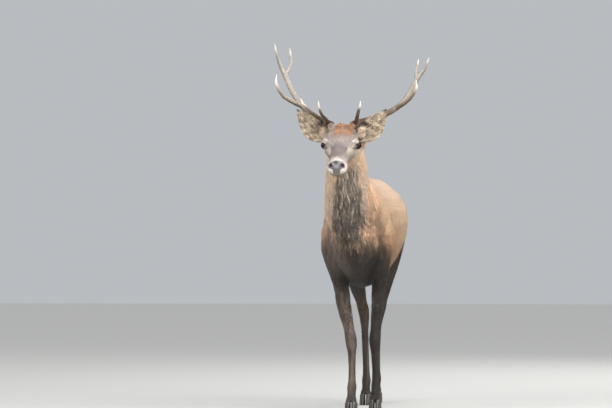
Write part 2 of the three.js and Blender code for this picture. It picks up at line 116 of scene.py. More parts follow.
def edgesOf(mesh):
    return readOut(mesh.edges, "vertices", 2, np.int64)


def cornersOf(mesh):
    # the three corners of each triangle
    return readOut(mesh.loops, "vertex_index", 1, np.int64).reshape(-1, 3)


def setPoints(mesh, points):
    mesh.vertices.foreach_set("co", np.ascontiguousarray(points, dtype=np.float64).ravel())
    mesh.update()


def spread(values, edges, times, share=0.5):
    # evens values out over neighbouring points
    values = np.array(values, dtype=float)
    flat = values.reshape(len(values), -1)
    count = np.maximum(np.bincount(edges.ravel(), minlength=len(values)), 1.0)[:, None]
    first, second = edges.T
    for _ in range(times):
        total = np.stack([np.bincount(first, column[second], len(values))
                          + np.bincount(second, column[first], len(values)) for column in flat.T], axis=1)
        flat += share * (total / count - flat)
    return flat.reshape(values.shape)


def soften(points, edges, times, keep=-0.53):
    # smooths the form without shrinking it: one step in, one step back out
    for _ in range(times):
        points = spread(points, edges, 1)
        points = spread(points, edges, 1, keep)
    return points


def addAttribute(mesh, name, kind, values):
    layer = mesh.attributes.new(name, kind, "POINT")
    field = {"FLOAT": "value", "FLOAT_VECTOR": "vector", "FLOAT_COLOR": "color"}[kind]
    layer.data.foreach_set(field, np.ascontiguousarray(values, dtype=np.float32).ravel())


def addColours(mesh, name, colours):
    addAttribute(mesh, name, "FLOAT_COLOR", np.c_[colours, np.ones(len(colours))])


merging = {"weld": 1e-5, "swell": 0.0005}     # swollen a little, so that solids that only touch are joined


def mergedCopy(names, title):
    deselectAll()
    copies = []
    for name in names:
        copy = frame["nodes"][name].copy()
        copy.data = copy.data.copy()
        copy.name = title
        copy.parent = None
        copy.matrix_world.identity()
        copy.data.materials.clear()
        intoScene(copy)
        copies.append(copy)
    for copy in copies:
        copy.select_set(True)
    bpy.context.view_layer.objects.active = copies[0]
    if len(copies) > 1:
        bpy.ops.object.join()
    piece = bpy.context.view_layer.objects.active
    setMode("EDIT")
    bpy.ops.mesh.select_all(action="SELECT")
    bpy.ops.mesh.remove_doubles(threshold=merging["weld"])
    bpy.ops.transform.shrink_fatten(value=merging["swell"])
    setMode("OBJECT")
    piece.name = piece.data.name = title
    return piece


def remesh(piece, grain):
    makeActive(piece)
    step = piece.modifiers.new("remesh", "REMESH")
    step.mode = "VOXEL"
    step.voxel_size = grain
    bpy.ops.object.modifier_apply(modifier=step.name)


def selectPoints(piece, chosen):
    # leaves the piece in edit mode with just these points selected
    makeActive(piece)
    setMode("EDIT")
    bpy.ops.mesh.select_all(action="DESELECT")
    bpy.ops.mesh.select_mode(type="VERT")
    setMode("OBJECT")
    piece.data.vertices.foreach_set("select", np.asarray(chosen, dtype=bool))
    setMode("EDIT")
    bpy.ops.mesh.select_mode(type="VERT")


# The head's own directions: along it from the nose tip, up from it, out to the stag's left
nose = np.array([-0.0410, -0.8552, 1.2350])
headTip = math.radians(30)
backAlong = np.array([0, math.cos(headTip), math.sin(headTip)])
upFrom = np.array([0, -math.sin(headTip), math.cos(headTip)])


def onHead(along, up, out=0.0):
    return nose + along * backAlong + up * upFrom + out * np.array([1.0, 0, 0])


def headFrame(points):
    away = points - nose
    return away @ backAlong, away @ upFrom, away[:, 0]


view = {
    "turn": 5.5,              # degrees round the stag
    "distance": 18.0,
    "level": 0.875,           # height of the lens
    "standing": (0.01006, -0.21515),      # the place on the floor that it turns round
    "lens": 207.6, "film": 36,            # mm
    "shift": (-53 / 612, 36 / 612),
    "farthest": 200,
}


def setCamera():
    turn = math.radians(view["turn"])
    x = view["standing"][0] + view["distance"] * math.sin(turn)
    y = view["standing"][1] - view["distance"] * math.cos(turn)
    lens = bpy.data.cameras.new("camera")
    lens.lens = view["lens"]
    lens.sensor_width = view["film"]
    lens.shift_x, lens.shift_y = view["shift"]
    lens.clip_end = view["farthest"]
    camera = bpy.data.objects.new("camera", lens)
    camera.location = (x, y, view["level"])
    camera.rotation_euler = (math.pi / 2, 0, turn)
    intoScene(camera)
    bpy.context.scene.camera = camera


lights = {
    # kind, place, aimed at, width (metres) or softness (degrees), power, colour
    "sky": ("SUN", (1.6, -4.2, 6.8), (0, 0, 0), 50, 2.5, (1.0, 0.99, 0.975)),
    "key": ("AREA", (-4.2, -5.6, 4.2), (0, -0.2, 1.0), 3.5, 430, (1.0, 0.985, 0.965)),
    "fill": ("AREA", (4.6, -3.6, 3.6), (0, 0.1, 1.0), 4.5, 450, (1.0, 0.99, 0.98)),
    "back": ("AREA", (2.5, 5.5, 4.6), (0, 0, 1.1), 3.5, 280, (1.0, 0.98, 0.95)),
}
studio = {"air": (0.80, 0.84, 0.88), "glow": 0.6, "floorSize": 60, "floor": (0.36, 0.36, 0.35), "floorRough": 0.9}


def setLights():
    for name, (kind, place, aim, soft, power, colour) in lights.items():
        lamp = bpy.data.lights.new(name, kind)
        if kind == "SUN":
            lamp.angle = math.radians(soft)
        else:
            lamp.size = soft
        lamp.energy = power
        lamp.color = colour
        holder = bpy.data.objects.new(name, lamp)
        holder.location = place
        holder.rotation_euler = (Vector(aim) - Vector(place)).to_track_quat("-Z", "Y").to_euler()
        intoScene(holder)
    world = bpy.data.worlds.new("studio")
    world.use_nodes = True
    air = world.node_tree.nodes["Background"].inputs
    air["Color"].default_value = (*studio["air"], 1)
    air["Strength"].default_value = studio["glow"]
    bpy.context.scene.world = world
    bpy.context.scene.view_settings.view_transform = "Standard"


def layFloor():
    floor = added(bpy.ops.mesh.primitive_plane_add, size=studio["floorSize"], location=(0, 0, 0))
    floor.name = "floor"
    floor.data.materials.append(newMaterial("floor", studio["floor"], studio["floorRough"])["material"])


def newMaterial(name, colour, roughness, **sockets):
    material = bpy.data.materials.new(name)
    material.use_nodes = True
    tree = material.node_tree
    shader = tree.nodes["Principled BSDF"]
    shader.inputs["Base Color"].default_value = (*colour, 1)
    shader.inputs["Roughness"].default_value = roughness
    for socket, value in sockets.items():
        shader.inputs[socket.replace("_", " ")].default_value = value
    return {"material": material, "tree": tree, "shader": shader}


def addNode(paint, kind, values=(), **settings):
    node = paint["tree"].nodes.new(kind)
    for name, value in settings.items():
        setattr(node, name, value)
    for name, value in dict(values).items():
        node.inputs[name].default_value = value
    return node


def wire(paint, source, target):
    paint["tree"].links.new(source, target)


def attributeOf(paint, name, output="Color"):
    return addNode(paint, "ShaderNodeAttribute", attribute_name=name).outputs[output]


def mixColours(paint, factor, first, second, blend="MIX"):
    node = addNode(paint, "ShaderNodeMix", data_type="RGBA", blend_type=blend)
    for socket, value in ((node.inputs[0], factor), (node.inputs[6], first), (node.inputs[7], second)):
        if isinstance(value, bpy.types.NodeSocket):
            wire(paint, value, socket)
        else:
            socket.default_value = value
    return node.outputs[2]


def rampOf(paint, source, stops):
    # stops: a place, and a colour or one number for a grey
    node = addNode(paint, "ShaderNodeValToRGB")
    while len(node.color_ramp.elements) < len(stops):
        node.color_ramp.elements.new(0.5)
    for element, (place, tone) in zip(node.color_ramp.elements, stops):
        element.position = place
        element.color = (*(tone if isinstance(tone, tuple) else [tone] * 3), 1)
    wire(paint, source, node.inputs["Fac"])
    return node.outputs["Color"]


def bumpFrom(paint, source, strength, distance):
    node = addNode(paint, "ShaderNodeBump", {"Strength": strength, "Distance": distance})
    wire(paint, source, node.inputs["Height"])
    wire(paint, node.outputs["Normal"], paint["shader"].inputs["Normal"])


def stretched(paint, source, scale):
    node = addNode(paint, "ShaderNodeMapping", {"Scale": scale})
    wire(paint, source, node.inputs["Vector"])
    return node.outputs["Vector"]


def grainNoise(paint, source, stretch, scale, detail=3.0, rough=0.55):
    node = addNode(paint, "ShaderNodeTexNoise", {"Scale": scale, "Detail": detail, "Roughness": rough})
    wire(paint, stretched(paint, source, stretch), node.inputs["Vector"])
    return node.outputs["Fac"]


def shadeBase(paint, colour, shade):
    # the base colour, made darker and lighter by the shade
    wire(paint, mixColours(paint, 1.0, colour, shade, "MULTIPLY"), paint["shader"].inputs["Base Color"])


def skinMaterial():
    # the hide under the coat: the same markings, a fine nap, and pebbled bare skin
    paint = newMaterial("hide", (0.5, 0.35, 0.22), 0.72, Sheen_Weight=0.15, Sheen_Roughness=0.5)
    place = addNode(paint, "ShaderNodeTexCoord").outputs["Object"]
    nap = grainNoise(paint, place, (1.0, 0.35, 0.45), 420)
    shade = rampOf(paint, nap, [(0.30, (0.70, 0.67, 0.64)), (0.70, (1.12, 1.11, 1.10))])
    shadeBase(paint, attributeOf(paint, "coatTint"), shade)
    bare = attributeOf(paint, "bareSkin", "Fac")
    wire(paint, rampOf(paint, bare, [(0.2, 0.74), (0.8, 0.34)]), paint["shader"].inputs["Roughness"])
    pebbles = addNode(paint, "ShaderNodeTexVoronoi", {"Scale": 430.0}, feature="SMOOTH_F1")
    wire(paint, place, pebbles.inputs["Vector"])
    bumpFrom(paint, mixColours(paint, bare, nap, pebbles.outputs["Distance"]), 0.55, 0.0012)
    return paint["material"]


def coatMaterial():
    # hair: the markings' colour, darker and lighter strands, a soft sheen
    paint = newMaterial("coat", (0.5, 0.35, 0.22), 0.62, Sheen_Weight=0.10, Sheen_Roughness=0.45)
    hairs = grainNoise(paint, attributeOf(paint, "strand", "Vector"), (13.0, 0.7, 1.0), 1.0, 2, 0.6)
    shade = rampOf(paint, hairs, [(0.30, (0.74, 0.72, 0.70)), (0.72, (1.16, 1.15, 1.14))])
    shadeBase(paint, attributeOf(paint, "coatTint"), shade)
    bumpFrom(paint, hairs, 0.5, 0.0006)
    return paint["material"]


# Markings, with some painted light and shade among them: one base and soft patches laid over it, the same on hide
# and coat (tones as on screen)
tints = {name: fromScreen(*tone) for name, tone in {
    "flank": (250, 208, 170), "back": (242, 208, 180), "russet": (214, 168, 128), "ochre": (218, 182, 146),
    "umber": (112, 84, 60), "rumpPatch": (255, 228, 202), "chest": (58, 46, 36), "dark": (32, 25, 22),
    "leg": (50, 41, 33), "legPale": (142, 124, 112),
    "throat": (118, 107, 94), "throatPale": (196, 182, 164), "throatDark": (54, 48, 41),
    "cream": (212, 197, 181), "white": (202, 194, 188), "cheek": (192, 175, 160), "faceGrey": (128, 116, 115),
    "forehead": (150, 134, 130), "crown": (168, 108, 62), "crownPale": (210, 158, 108), "chin": (172, 150, 112),
    "lip": (232, 224, 216), "nosePad": (104, 101, 102), "noseSheen": (132, 132, 142), "nostril": (62, 40, 40),
    "earBack": (150, 128, 106), "earInside": (170, 152, 130), "earMottle": (112, 94, 76),
    "earTuft": (206, 190, 166), "earRim": (66, 57, 49),
}.items()}

# Wandering values that break up the edges: size in metres, seed
ripples = {"rough": (0.035, 3), "broad": (0.16, 5), "fine": (0.012, 41), "speck": (0.0052, 47)}


def ripple(points, size, seed):
    # a gentle value from -1 to 1
    waves = np.random.default_rng(seed).normal(size=(5, 3)) / size
    turns = np.arange(5) * 1.7 + seed
    return np.sin(points @ waves.T * 2.2 + turns).mean(axis=1) * 1.6


def ripplesOf(points, *names):
    return [ripple(points, *ripples[name]) for name in names]


def blob(points, centre, radii, soft=0.35):
    # 1 inside the ellipsoid, 0 outside, with a soft edge
    far = np.linalg.norm((points - np.asarray(centre)) / np.asarray(radii), axis=1)
    return 1 - smooth(1 - soft, 1 + soft, far)


def bell(value, middle, width):
    return np.exp(-((value - middle) / width) ** 2)


def brushOn(colour, tones=tints):
    # lays a named tone over these colours where the mask says
    def brush(mask, tone):
        colour[:] = colour + np.clip(mask, 0, 1)[:, None] * (tones[tone] - colour)
    return brush


bodyMarks = {
    "darkBelly": 0.695,                 # height of the dark edge
    "darkChest": 0.155, "darkThighAndShade": 0.130,   # how much higher in front and behind; behind, partly the thigh's own dark coat, partly painted shade
    "darkSoft": 0.050,
    "dewclaws": [(-0.013, -0.329), (0.090, -0.131), (-0.024, 0.573), (0.007, 0.843)],
    "dewclawLevel": 0.117,
}


def bodyColour(points, share):
    x, y, z = points.T
    rough, broad, fine = ripplesOf(points, "rough", "broad", "fine")
    colour = np.tile(tints["flank"], (len(points), 1))
    brush = brushOn(colour)
    brush(smooth(1.02, 1.16, z + 0.03 * broad) * 0.8, "back")
    brush((1 - smooth(0.74, 0.92, z + 0.03 * broad)) * 0.8, "russet")
    brush(smooth(0.25, 0.9, ripple(points, 0.09, 11)) * 0.18, "russet")
    brush(bell(x, 0.008, 0.030) * smooth(1.10, 1.16, z) * 0.5, "russet")
    # pale rump patch round the tail, with a darker edge
    brush(blob(points + 0.012 * rough[:, None], (0.01, 0.72, 0.93), (0.125, 0.12, 0.20), 0.42) * 0.6, "umber")
    patch = blob(points + 0.008 * fine[:, None], (0.01, 0.73, 0.93), (0.104, 0.10, 0.170), 0.26)
    brush(patch * smooth(0.60, 0.66, y), "rumpPatch")
    # dark belly, chest and thighs
    front = 1 - smooth(-0.38, -0.12, y + 0.8 * np.maximum(x - 0.09, 0))
    rear = smooth(0.32, 0.56, y)
    # behind, the raised dark edge is partly painted shade on the thigh, turned from the light
    edge = bodyMarks["darkBelly"] + bodyMarks["darkChest"] * front + bodyMarks["darkThighAndShade"] * rear
    soft = bodyMarks["darkSoft"] + 0.025 * np.clip(np.abs(x - 0.005) / 0.15, 0, 1)
    below = 1 - smooth(edge - soft, edge + soft, z + 0.026 * rough + 0.014 * broad + 0.006 * fine)
    brush((1 - smooth(edge - soft, edge + soft * 2.4, z + 0.03 * rough)) * 0.65, "umber")
    brush(below, "chest")
    # legs, with paler painted light on the near shoulder and the lit side of the lower forelegs
    brush(1 - smooth(0.60, 0.74, z + 0.02 * rough), "leg")
    behind = smooth(0.40, 0.62, y) * smooth(0.30, 0.62, z)
    brush(behind * below * (0.45 + 0.25 * rough), "umber")
    # painted highlight on the near shoulder
    paintedShoulderLight = blob(points, (-0.11, -0.44, 0.77), (0.09, 0.12, 0.18), 0.6) * (0.75 + 0.35 * rough)
    brush(paintedShoulderLight * 0.95, "legPale")
    # painted light on the lit side of the lower forelegs
    paintedShinLight = smooth(0.72, 0.45, z) * share("foreLegs", "hindLegs") * (y < -0.1) * smooth(0.03, -0.02, x)
    brush(paintedShinLight * (0.42 + 0.25 * rough), "legPale")
    brush(bell(z, 0.26, 0.12) * share("hindLegs") * (x > -0.02) * 0.45, "legPale")
    brush((1 - smooth(0.075, 0.15, z)) * 0.7, "dark")
    level = bodyMarks["dewclawLevel"]
    knobs = [blob(points, (footX, footY, level), (0.030, 0.017, 0.024), 0.3)
             for footX, footY in bodyMarks["dewclaws"]]
    brush(sum(knobs), "dark")
    brush(share("tail") * 0.9, "ochre")
    brush(share("tail") * smooth(0.95, 1.02, z) * 0.6, "umber")
    neckMarks(brush, points, share)
    return colour


def neckMarks(brush, points, share):
    # ochre sides with streaks, grey mottled throat, darker line down the nape
    x, y, z = points.T
    [rough] = ripplesOf(points, "rough")
    neck = share("neck") * smooth(0.90, 1.02, z + 0.03 * rough)
    brush(neck * (0.72 + 0.2 * rough), "ochre")
    nape = smooth(1.10, 1.20, z) * share("neck") * bell(x, -0.02, 0.04) * (y > -0.50)
    brush(nape * 0.6, "russet")
    streaks = ripple(points * [1, 1, 0.14], 0.011, 53)
    brush(neck * smooth(0.15, 0.8, streaks) * 0.40, "cream")
    brush(neck * smooth(0.3, 0.9, -streaks) * 0.35, "russet")
    throat = throatMask(points)
    brush(throat, "throat")
    pale = smooth(0.1, 0.7, ripple(points * [1, 1, 0.35], 0.011, 23))
    deep = smooth(0.1, 0.7, ripple(points * [1, 1, 0.35], 0.013, 27))
    brush(throat * pale * 0.75, "throatPale")
    brush(throat * deep * 0.8, "throatDark")
    brush(throat * smooth(1.06, 0.90, z) * 0.55, "throatDark")
    borders = bell(x, 0.075, 0.016) + bell(x, -0.100, 0.016)
    brush(neck * borders * (0.5 + 0.4 * streaks) * (y < -0.36), "cream")
    left = blob(points, (0.115, -0.46, 0.965), (0.055, 0.11, 0.10), 0.6)
    brush(left * (0.45 + 0.3 * streaks), "umber")
    foot = blob(points, (0.03, -0.56, 0.83), (0.05, 0.08, 0.06), 0.6)
    brush(foot * (0.4 + 0.3 * streaks), "throatDark")


headMiddle = 0.002            # the middle of the face, to the stag's left of the nose tip
crownMiddle = 0.008

# Marks on both sides of the face: tint, along, up, out, reach in x y z, softness, strength
faceMarks = {
    "brow": ("white", 0.222, 0.026, 0.082, (0.016, 0.024, 0.015), 0.7, 0.8),
    "below the eye": ("cream", 0.160, -0.002, 0.056, (0.018, 0.042, 0.020), 0.5, 0.85),
    "cheek": ("cream", 0.250, -0.050, 0.084, (0.022, 0.050, 0.040), 0.6, 0.7),
    "jaw shade": ("throat", 0.225, -0.095, 0.050, (0.018, 0.060, 0.028), 0.6, 0.55),
    "inner pit": ("dark", 0.150, 0.021, 0.034, (0.0045, 0.017, 0.007), 0.8, 0.62),
    "antler root": ("earMottle", 0.335, 0.062, 0.052, (0.017, 0.032, 0.032), 0.6, 0.65),
    "muzzle shade": ("faceGrey", 0.110, 0.004, 0.040, (0.010, 0.040, 0.012), 0.7, 0.5),
    "tear line": ("dark", 0.204, -0.006, 0.072, (0.007, 0.014, 0.008), 0.5, 0.8),
    "temple": ("earMottle", 0.330, 0.040, 0.080, (0.022, 0.030, 0.022), 0.6, 0.5),
}


def faceColour(points):
    along, up, out = headFrame(points)
    out = out - headMiddle
    rough, fine, speck = ripplesOf(points, "rough", "fine", "speck")
    brushed = ripple(np.stack([along * 0.3, up, out], axis=1), 0.0050, 61)
    face = np.tile(tints["cheek"], (len(points), 1))
    brush = brushOn(face)
    brush(smooth(0.1, 0.8, brushed) * 0.55, "faceGrey")
    brush(smooth(0.1, 0.8, -brushed) * 0.45, "cream")
    # grey bridge, flecked forehead
    top = smooth(-0.012, 0.014, up)
    wide = 0.019 + 0.022 * smooth(0.07, 0.15, along)
    grey = (1 - smooth(wide - 0.007, wide + 0.011, np.abs(out + 0.003) + 0.004 * rough + 0.004 * fine)) * top
    grey = grey * smooth(0.050, 0.066, along) * (1 - smooth(0.180, 0.215, along + 0.008 * fine))
    brush(grey * (0.9 + 0.15 * speck), "faceGrey")
    brush(grey * smooth(0.2, 0.9, speck) * 0.35, "cream")
    forehead = smooth(0.150, 0.195, along) * (1 - smooth(0.235, 0.275, along)) * top
    brush(forehead * 0.6, "forehead")
    brush(forehead * smooth(0.0, 0.5, speck + 0.4 * fine) * 0.8, "white")
    brush(forehead * smooth(0.2, 0.8, -speck) * 0.6, "faceGrey")
    for tint, markAlong, markUp, markOut, reach, soft, strength in faceMarks.values():
        for side in (-1, 1):
            mark = blob(points, onHead(markAlong, markUp, side * markOut + headMiddle), reach, soft)
            brush(mark * strength * (1 + 0.25 * speck), tint)
    # russet crown with two swirls and a parting
    crown = smooth(0.212, 0.272, along + 0.006 * rough + 0.014 * fine + 0.012 * speck) * smooth(0.000, 0.03, up)
    crown = crown * (1 - smooth(0.032, 0.060, np.abs(out - 0.012) + 0.006 * speck))
    brush(crown * (0.92 + 0.2 * fine), "crown")
    brush(crown * smooth(0.1, 0.9, ripple(points, 0.0075, 67)) * 0.6, "crownPale")
    brush(crown * smooth(0.4, 1.0, -speck) * 0.4, "umber")
    for side in (-1, 1):
        swirl = blob(points, onHead(0.276, 0.056, side * 0.026 + crownMiddle), (0.017, 0.026, 0.018), 0.6)
        brush(swirl * (0.7 + 0.3 * speck), "crownPale")
    brush(bell(out, crownMiddle, 0.005) * crown * 0.45, "russet")
    brush(smooth(0.36, 0.42, along) * 0.8, "russet")
    # white band behind the nose, cream lips and chin
    band = 1 - smooth(0.042, 0.058, along + 0.004 * rough + 0.003 * speck + 0.10 * np.maximum(-up - 0.02, 0))
    brush(band * (0.85 + 0.2 * speck) * (up > -0.052) * 0.97, "white")
    chin = (1 - smooth(0.10, 0.15, along)) * (up < -0.049)
    brush(chin * 0.9, "chin")
    brush(chin * smooth(0.0, 0.8, fine) * (1 - smooth(0.03, 0.06, along)) * 0.5, "throatDark")
    # nose pad with a painted sheen, nostrils dark with painted shade in them, mouth and lids
    pad = padMask(points)
    brush(pad, "nosePad")
    lips = sum(blob(points, onHead(0.006, -0.030, side * 0.030), (0.014, 0.02, 0.016), 0.4) for side in (-1, 1))
    brush(lips * (1 - pad) * (up > -0.046), "lip")
    # painted sheen: a bluish grey reflection on the middle of the wet pad
    brush(blob(points, onHead(0.004, 0.000), (0.013, 0.016, 0.011), 0.5) * pad * 0.9, "noseSheen")
    brush(blob(points, onHead(0.014, 0.0165, -0.002), (0.012, 0.014, 0.0095), 0.4) * 0.92, "dark")
    # the nostrils' dark lining, with painted shade in the holes
    brush(nostrilMask(points), "nostril")
    brush(mouthMask(points) * 0.9, "dark")
    brush(lidMask(points), "dark")
    brush((1 - smooth(-0.10, -0.055, up)) * smooth(0.16, 0.24, along) * 0.6, "ochre")
    return face


def earColour(points, normals, side):
    # grey-brown outside, cream inside with brown streaks, dark root and rim
    x, _, z = points.T
    [fine] = ripplesOf(points, "fine")
    reach = (x + 0.038) * side
    inside = smooth(0.0, 0.35, -normals[:, 1])
    fan = np.stack([(reach * 0.83 + z * 0.55) * 0.4, z * 0.83 - reach * 0.55, 0 * z], axis=1)
    tufted = ripple(fan, 0.0105, 31 + side) + 0.35 * fine
    ear = np.tile(tints["earBack"], (len(points), 1))
    brush = brushOn(ear)
    brush(inside, "earInside")
    brush(inside * smooth(0.0, 0.6, tufted) * 0.75, "earTuft")
    brush(inside * smooth(0.05, 0.6, -tufted) * 0.58, "earMottle")
    brush(blob(points, (side * 0.104 - 0.036, -0.590, 1.456), (0.022, 0.030, 0.014), 0.5) * 0.9, "dark")
    brush(smooth(0.45, 0.8, 1 - np.abs(normals[:, 1])) * 0.6, "earRim")
    brush(smooth(1.50, 1.53, z) * 0.7, "earRim")
    return ear


def coatColour(points, shares, normals):
    # shares: how much each point belongs to each region of the body
    def share(*names):
        return sum(shares[:, regionNumber[name]] for name in names)
    colour = bodyColour(points, share)
    for region, own in (("head", faceColour(points)), ("earLeft", earColour(points, normals, 1)),
                        ("earRight", earColour(points, normals, -1))):
        colour += share(region)[:, None] * (own - colour)
    return colour


def throatMask(points):
    # the grey, mottled front of the neck, from the jaw down to the chest
    x, y, z = points.T
    [rough] = ripplesOf(points, "rough")
    wide = 0.050 + 0.027 * smooth(1.22, 1.02, z) - 0.035 * smooth(0.96, 0.86, z)
    throat = 1 - smooth(wide - 0.025, wide + 0.035, np.abs(x + 0.014) + 0.016 * rough)
    return throat * smooth(0.80, 0.90, z + 0.02 * rough) * (1 - smooth(1.20, 1.30, z)) * smooth(-0.42, -0.48, y)


def padMask(points):
    along, up, out = headFrame(points)
    wide = 0.018 + 0.018 * smooth(-0.024, 0.0, up)
    pad = (1 - smooth(wide - 0.003, wide + 0.003, np.abs(out))) * smooth(-0.046, -0.040, up)
    return pad * (1 - smooth(0.024, 0.034, along + 0.10 * np.abs(out)))


def nostrilMask(points):
    holes = [blob(points, onHead(0.010, 0.001, side * 0.0310), (0.0135, 0.018, 0.0145)) for side in (-1, 1)]
    return np.clip(sum(holes), 0, 1)


def mouthMask(points):
    along, up, _ = headFrame(points)
    return bell(up, -0.050, 0.0022) * (1 - smooth(0.085, 0.10, along))


# Eyes: where they sit, and the lids that open over them
eyes = {
    "along": 0.234, "up": -0.007, "out": 0.0825,   # middle of the ball, on the head
    "aside": 0.0045,          # both a little to the stag's left
    "radius": 0.0200,
    "bulge": 0.0012,          # how proud the clear front stands
    "gaze": 44,               # degrees out from straight ahead
    "dip": -4,                # degrees up; below level here
    "lidWide": 58, "lidHigh": 36, "lidTilt": 14,   # half opening and slant, degrees
    "lidThick": 0.0030, "lidDarkTo": 0.034,        # how far from the ball's middle the lids are dark
    "socket": 0.80,           # how far in the hide goes behind the ball, in radii
    "lidSlope": 0.0022, "lidReach": 2.4,           # how the lids run out into the face
}


def eyeMiddle(side):
    return onHead(eyes["along"], eyes["up"], side * eyes["out"] + eyes["aside"])


def gazeOf(side):
    turn, dip = math.radians(eyes["gaze"]), math.radians(eyes["dip"])
    return np.array([side * math.sin(turn) * math.cos(dip), -math.cos(turn) * math.cos(dip), math.sin(dip)])


def lidAngles(points, side):
    # how far round the ball a point lies, as a share of the lids' opening, and its distance
    away = points - eyeMiddle(side)
    gaze = gazeOf(side)
    level = np.cross(gaze, [0, 0, 1.0])
    level /= np.linalg.norm(level)
    upright = np.cross(level, gaze)
    tilt = math.radians(eyes["lidTilt"]) * side
    across = level * math.cos(tilt) + upright * math.sin(tilt)
    high = upright * math.cos(tilt) - level * math.sin(tilt)
    ahead = away @ gaze
    wide = np.degrees(np.arctan2(away @ across, ahead)) / eyes["lidWide"]
    tall = np.degrees(np.arctan2(away @ high, ahead)) / eyes["lidHigh"]
    far = np.linalg.norm(away, axis=1)
    return np.where(ahead > -0.2 * far, np.sqrt(wide ** 2 + tall ** 2), 9.0), far


def lidMask(points):
    mask = np.zeros(len(points))
    for side in (-1, 1):
        share, far = lidAngles(points, side)
        mask = np.maximum(mask, (1 - smooth(1.08, 1.24, share)) * (far < eyes["lidDarkTo"]))
        corner = eyeMiddle(side) + np.array([-side * 0.006, -0.019, -0.009])
        mask = np.maximum(mask, blob(points, corner, (0.006, 0.010, 0.007), 0.5) * 0.8)
    return mask


def openLids(points):
    radius = eyes["radius"]
    socket = radius * eyes["socket"]
    for side in (-1, 1):
        share, far = lidAngles(points, side)
        away = unit(points - eyeMiddle(side))
        inside = socket + (radius + eyes["lidThick"] - socket) * smooth(0.93, 1.04, share)
        reach = inside - eyes["lidSlope"] * smooth(1.15, 1.5, share)
        hold = (1 - smooth(1.25, 1.95, share)) * (far < radius * eyes["lidReach"])
        points = points + away * ((reach - far) * hold)[:, None]
    return points


# The skin: one hide over all the flesh
regionsOf = {
    "head": ["head", "muzzle", "lower_jaw"],
    "earLeft": ["ear_left"], "earRight": ["ear_right"],
    "neck": ["neck_upper", "neck_lower"],
    "trunk": ["chest", "barrel", "rump"],
    "tail": ["tail"],
    "foreLegs": [f"foreleg_{s}_{p}" for s in ("left", "right") for p in ("forearm", "cannon", "pastern")],
    "hindLegs": [f"hindleg_{s}_{p}" for s in ("left", "right") for p in ("thigh", "gaskin", "cannon", "pastern")],
}
regionNumber = {name: number for number, name in enumerate(regionsOf)}
fleshNames = [node for nodes in regionsOf.values() for node in nodes]

skin = {
    "grain": 0.0036,          # first remesh
    "smoothing": 14,
    "joinBelow": (1.29, 1.24),    # heights under which the join of neck and shoulders is softened
    "joinSmoothing": 90,
    "bodyKeep": 0.16,         # share of faces kept on the body
    "fineRound": 0.034,       # how far round the eyes the faces are split
    "fineNose": 0.060,
    "shade": 0.9,             # the hide a little darker than the hair
    "earShade": 0.28,         # and darker still deep in the ear
}


def fleshTree():
    # all the flesh solids in one search tree, with the region of each face
    points, faces, owners = [], [], []
    for region, names in regionsOf.items():
        for name in names:
            mesh = frame["nodes"][name].data
            first = len(points)
            points += [v.co.copy() for v in mesh.vertices]
            for polygon in mesh.polygons:
                faces.append([first + i for i in polygon.vertices])
                owners.append(regionNumber[region])
    return BVHTree.FromPolygons(points, faces), np.array(owners)


def regionsAt(points):
    found = [solidTree.find_nearest(Vector(p))[2] for p in points]
    return solidOwners[np.array(found)]


def isIn(regions, *names):
    return np.isin(regions, [regionNumber[name] for name in names])


# Comb guides, mirrored: place on the head (along, up, out), lie (along, up, out), coat depth, length, width (mm)
headGuides = [
    (0.03, 0.02, 0.02, (1, 0.1, 0), 1.0, 5, 1.8),
    (0.03, -0.03, 0.05, (1, -0.1, 0), 1.0, 5, 1.8),
    (0.03, -0.07, 0.02, (1, -0.2, 0), 1.8, 8, 2.0),
    (0.12, 0.03, 0.02, (1, 0.15, 0), 1.5, 8, 2.2),
    (0.12, -0.04, 0.05, (1, -0.15, 0), 1.5, 8, 2.2),
    (0.20, 0.04, 0.02, (1, 0.3, 0.1), 1.8, 9, 2.4),
    (0.22, -0.06, 0.06, (1, -0.3, 0), 2.5, 12, 2.8),
    (0.27, 0.05, 0.02, (1, 0.4, 0.1), 3.0, 12, 2.8),
    (0.27, -0.10, 0.05, (0.9, -0.5, 0), 4.5, 18, 3.6),
    (0.33, 0.07, 0.02, (0.4, 1, 0.25), 8.0, 20, 4.2),
    (0.33, -0.03, 0.07, (1, -0.2, 0), 4.0, 16, 3.2),
    (0.38, 0.03, 0.02, (1, -0.3, 0.1), 6.0, 20, 4.0),
    (0.36, -0.12, 0.04, (0.6, -0.9, 0), 8.0, 26, 4.5),
]
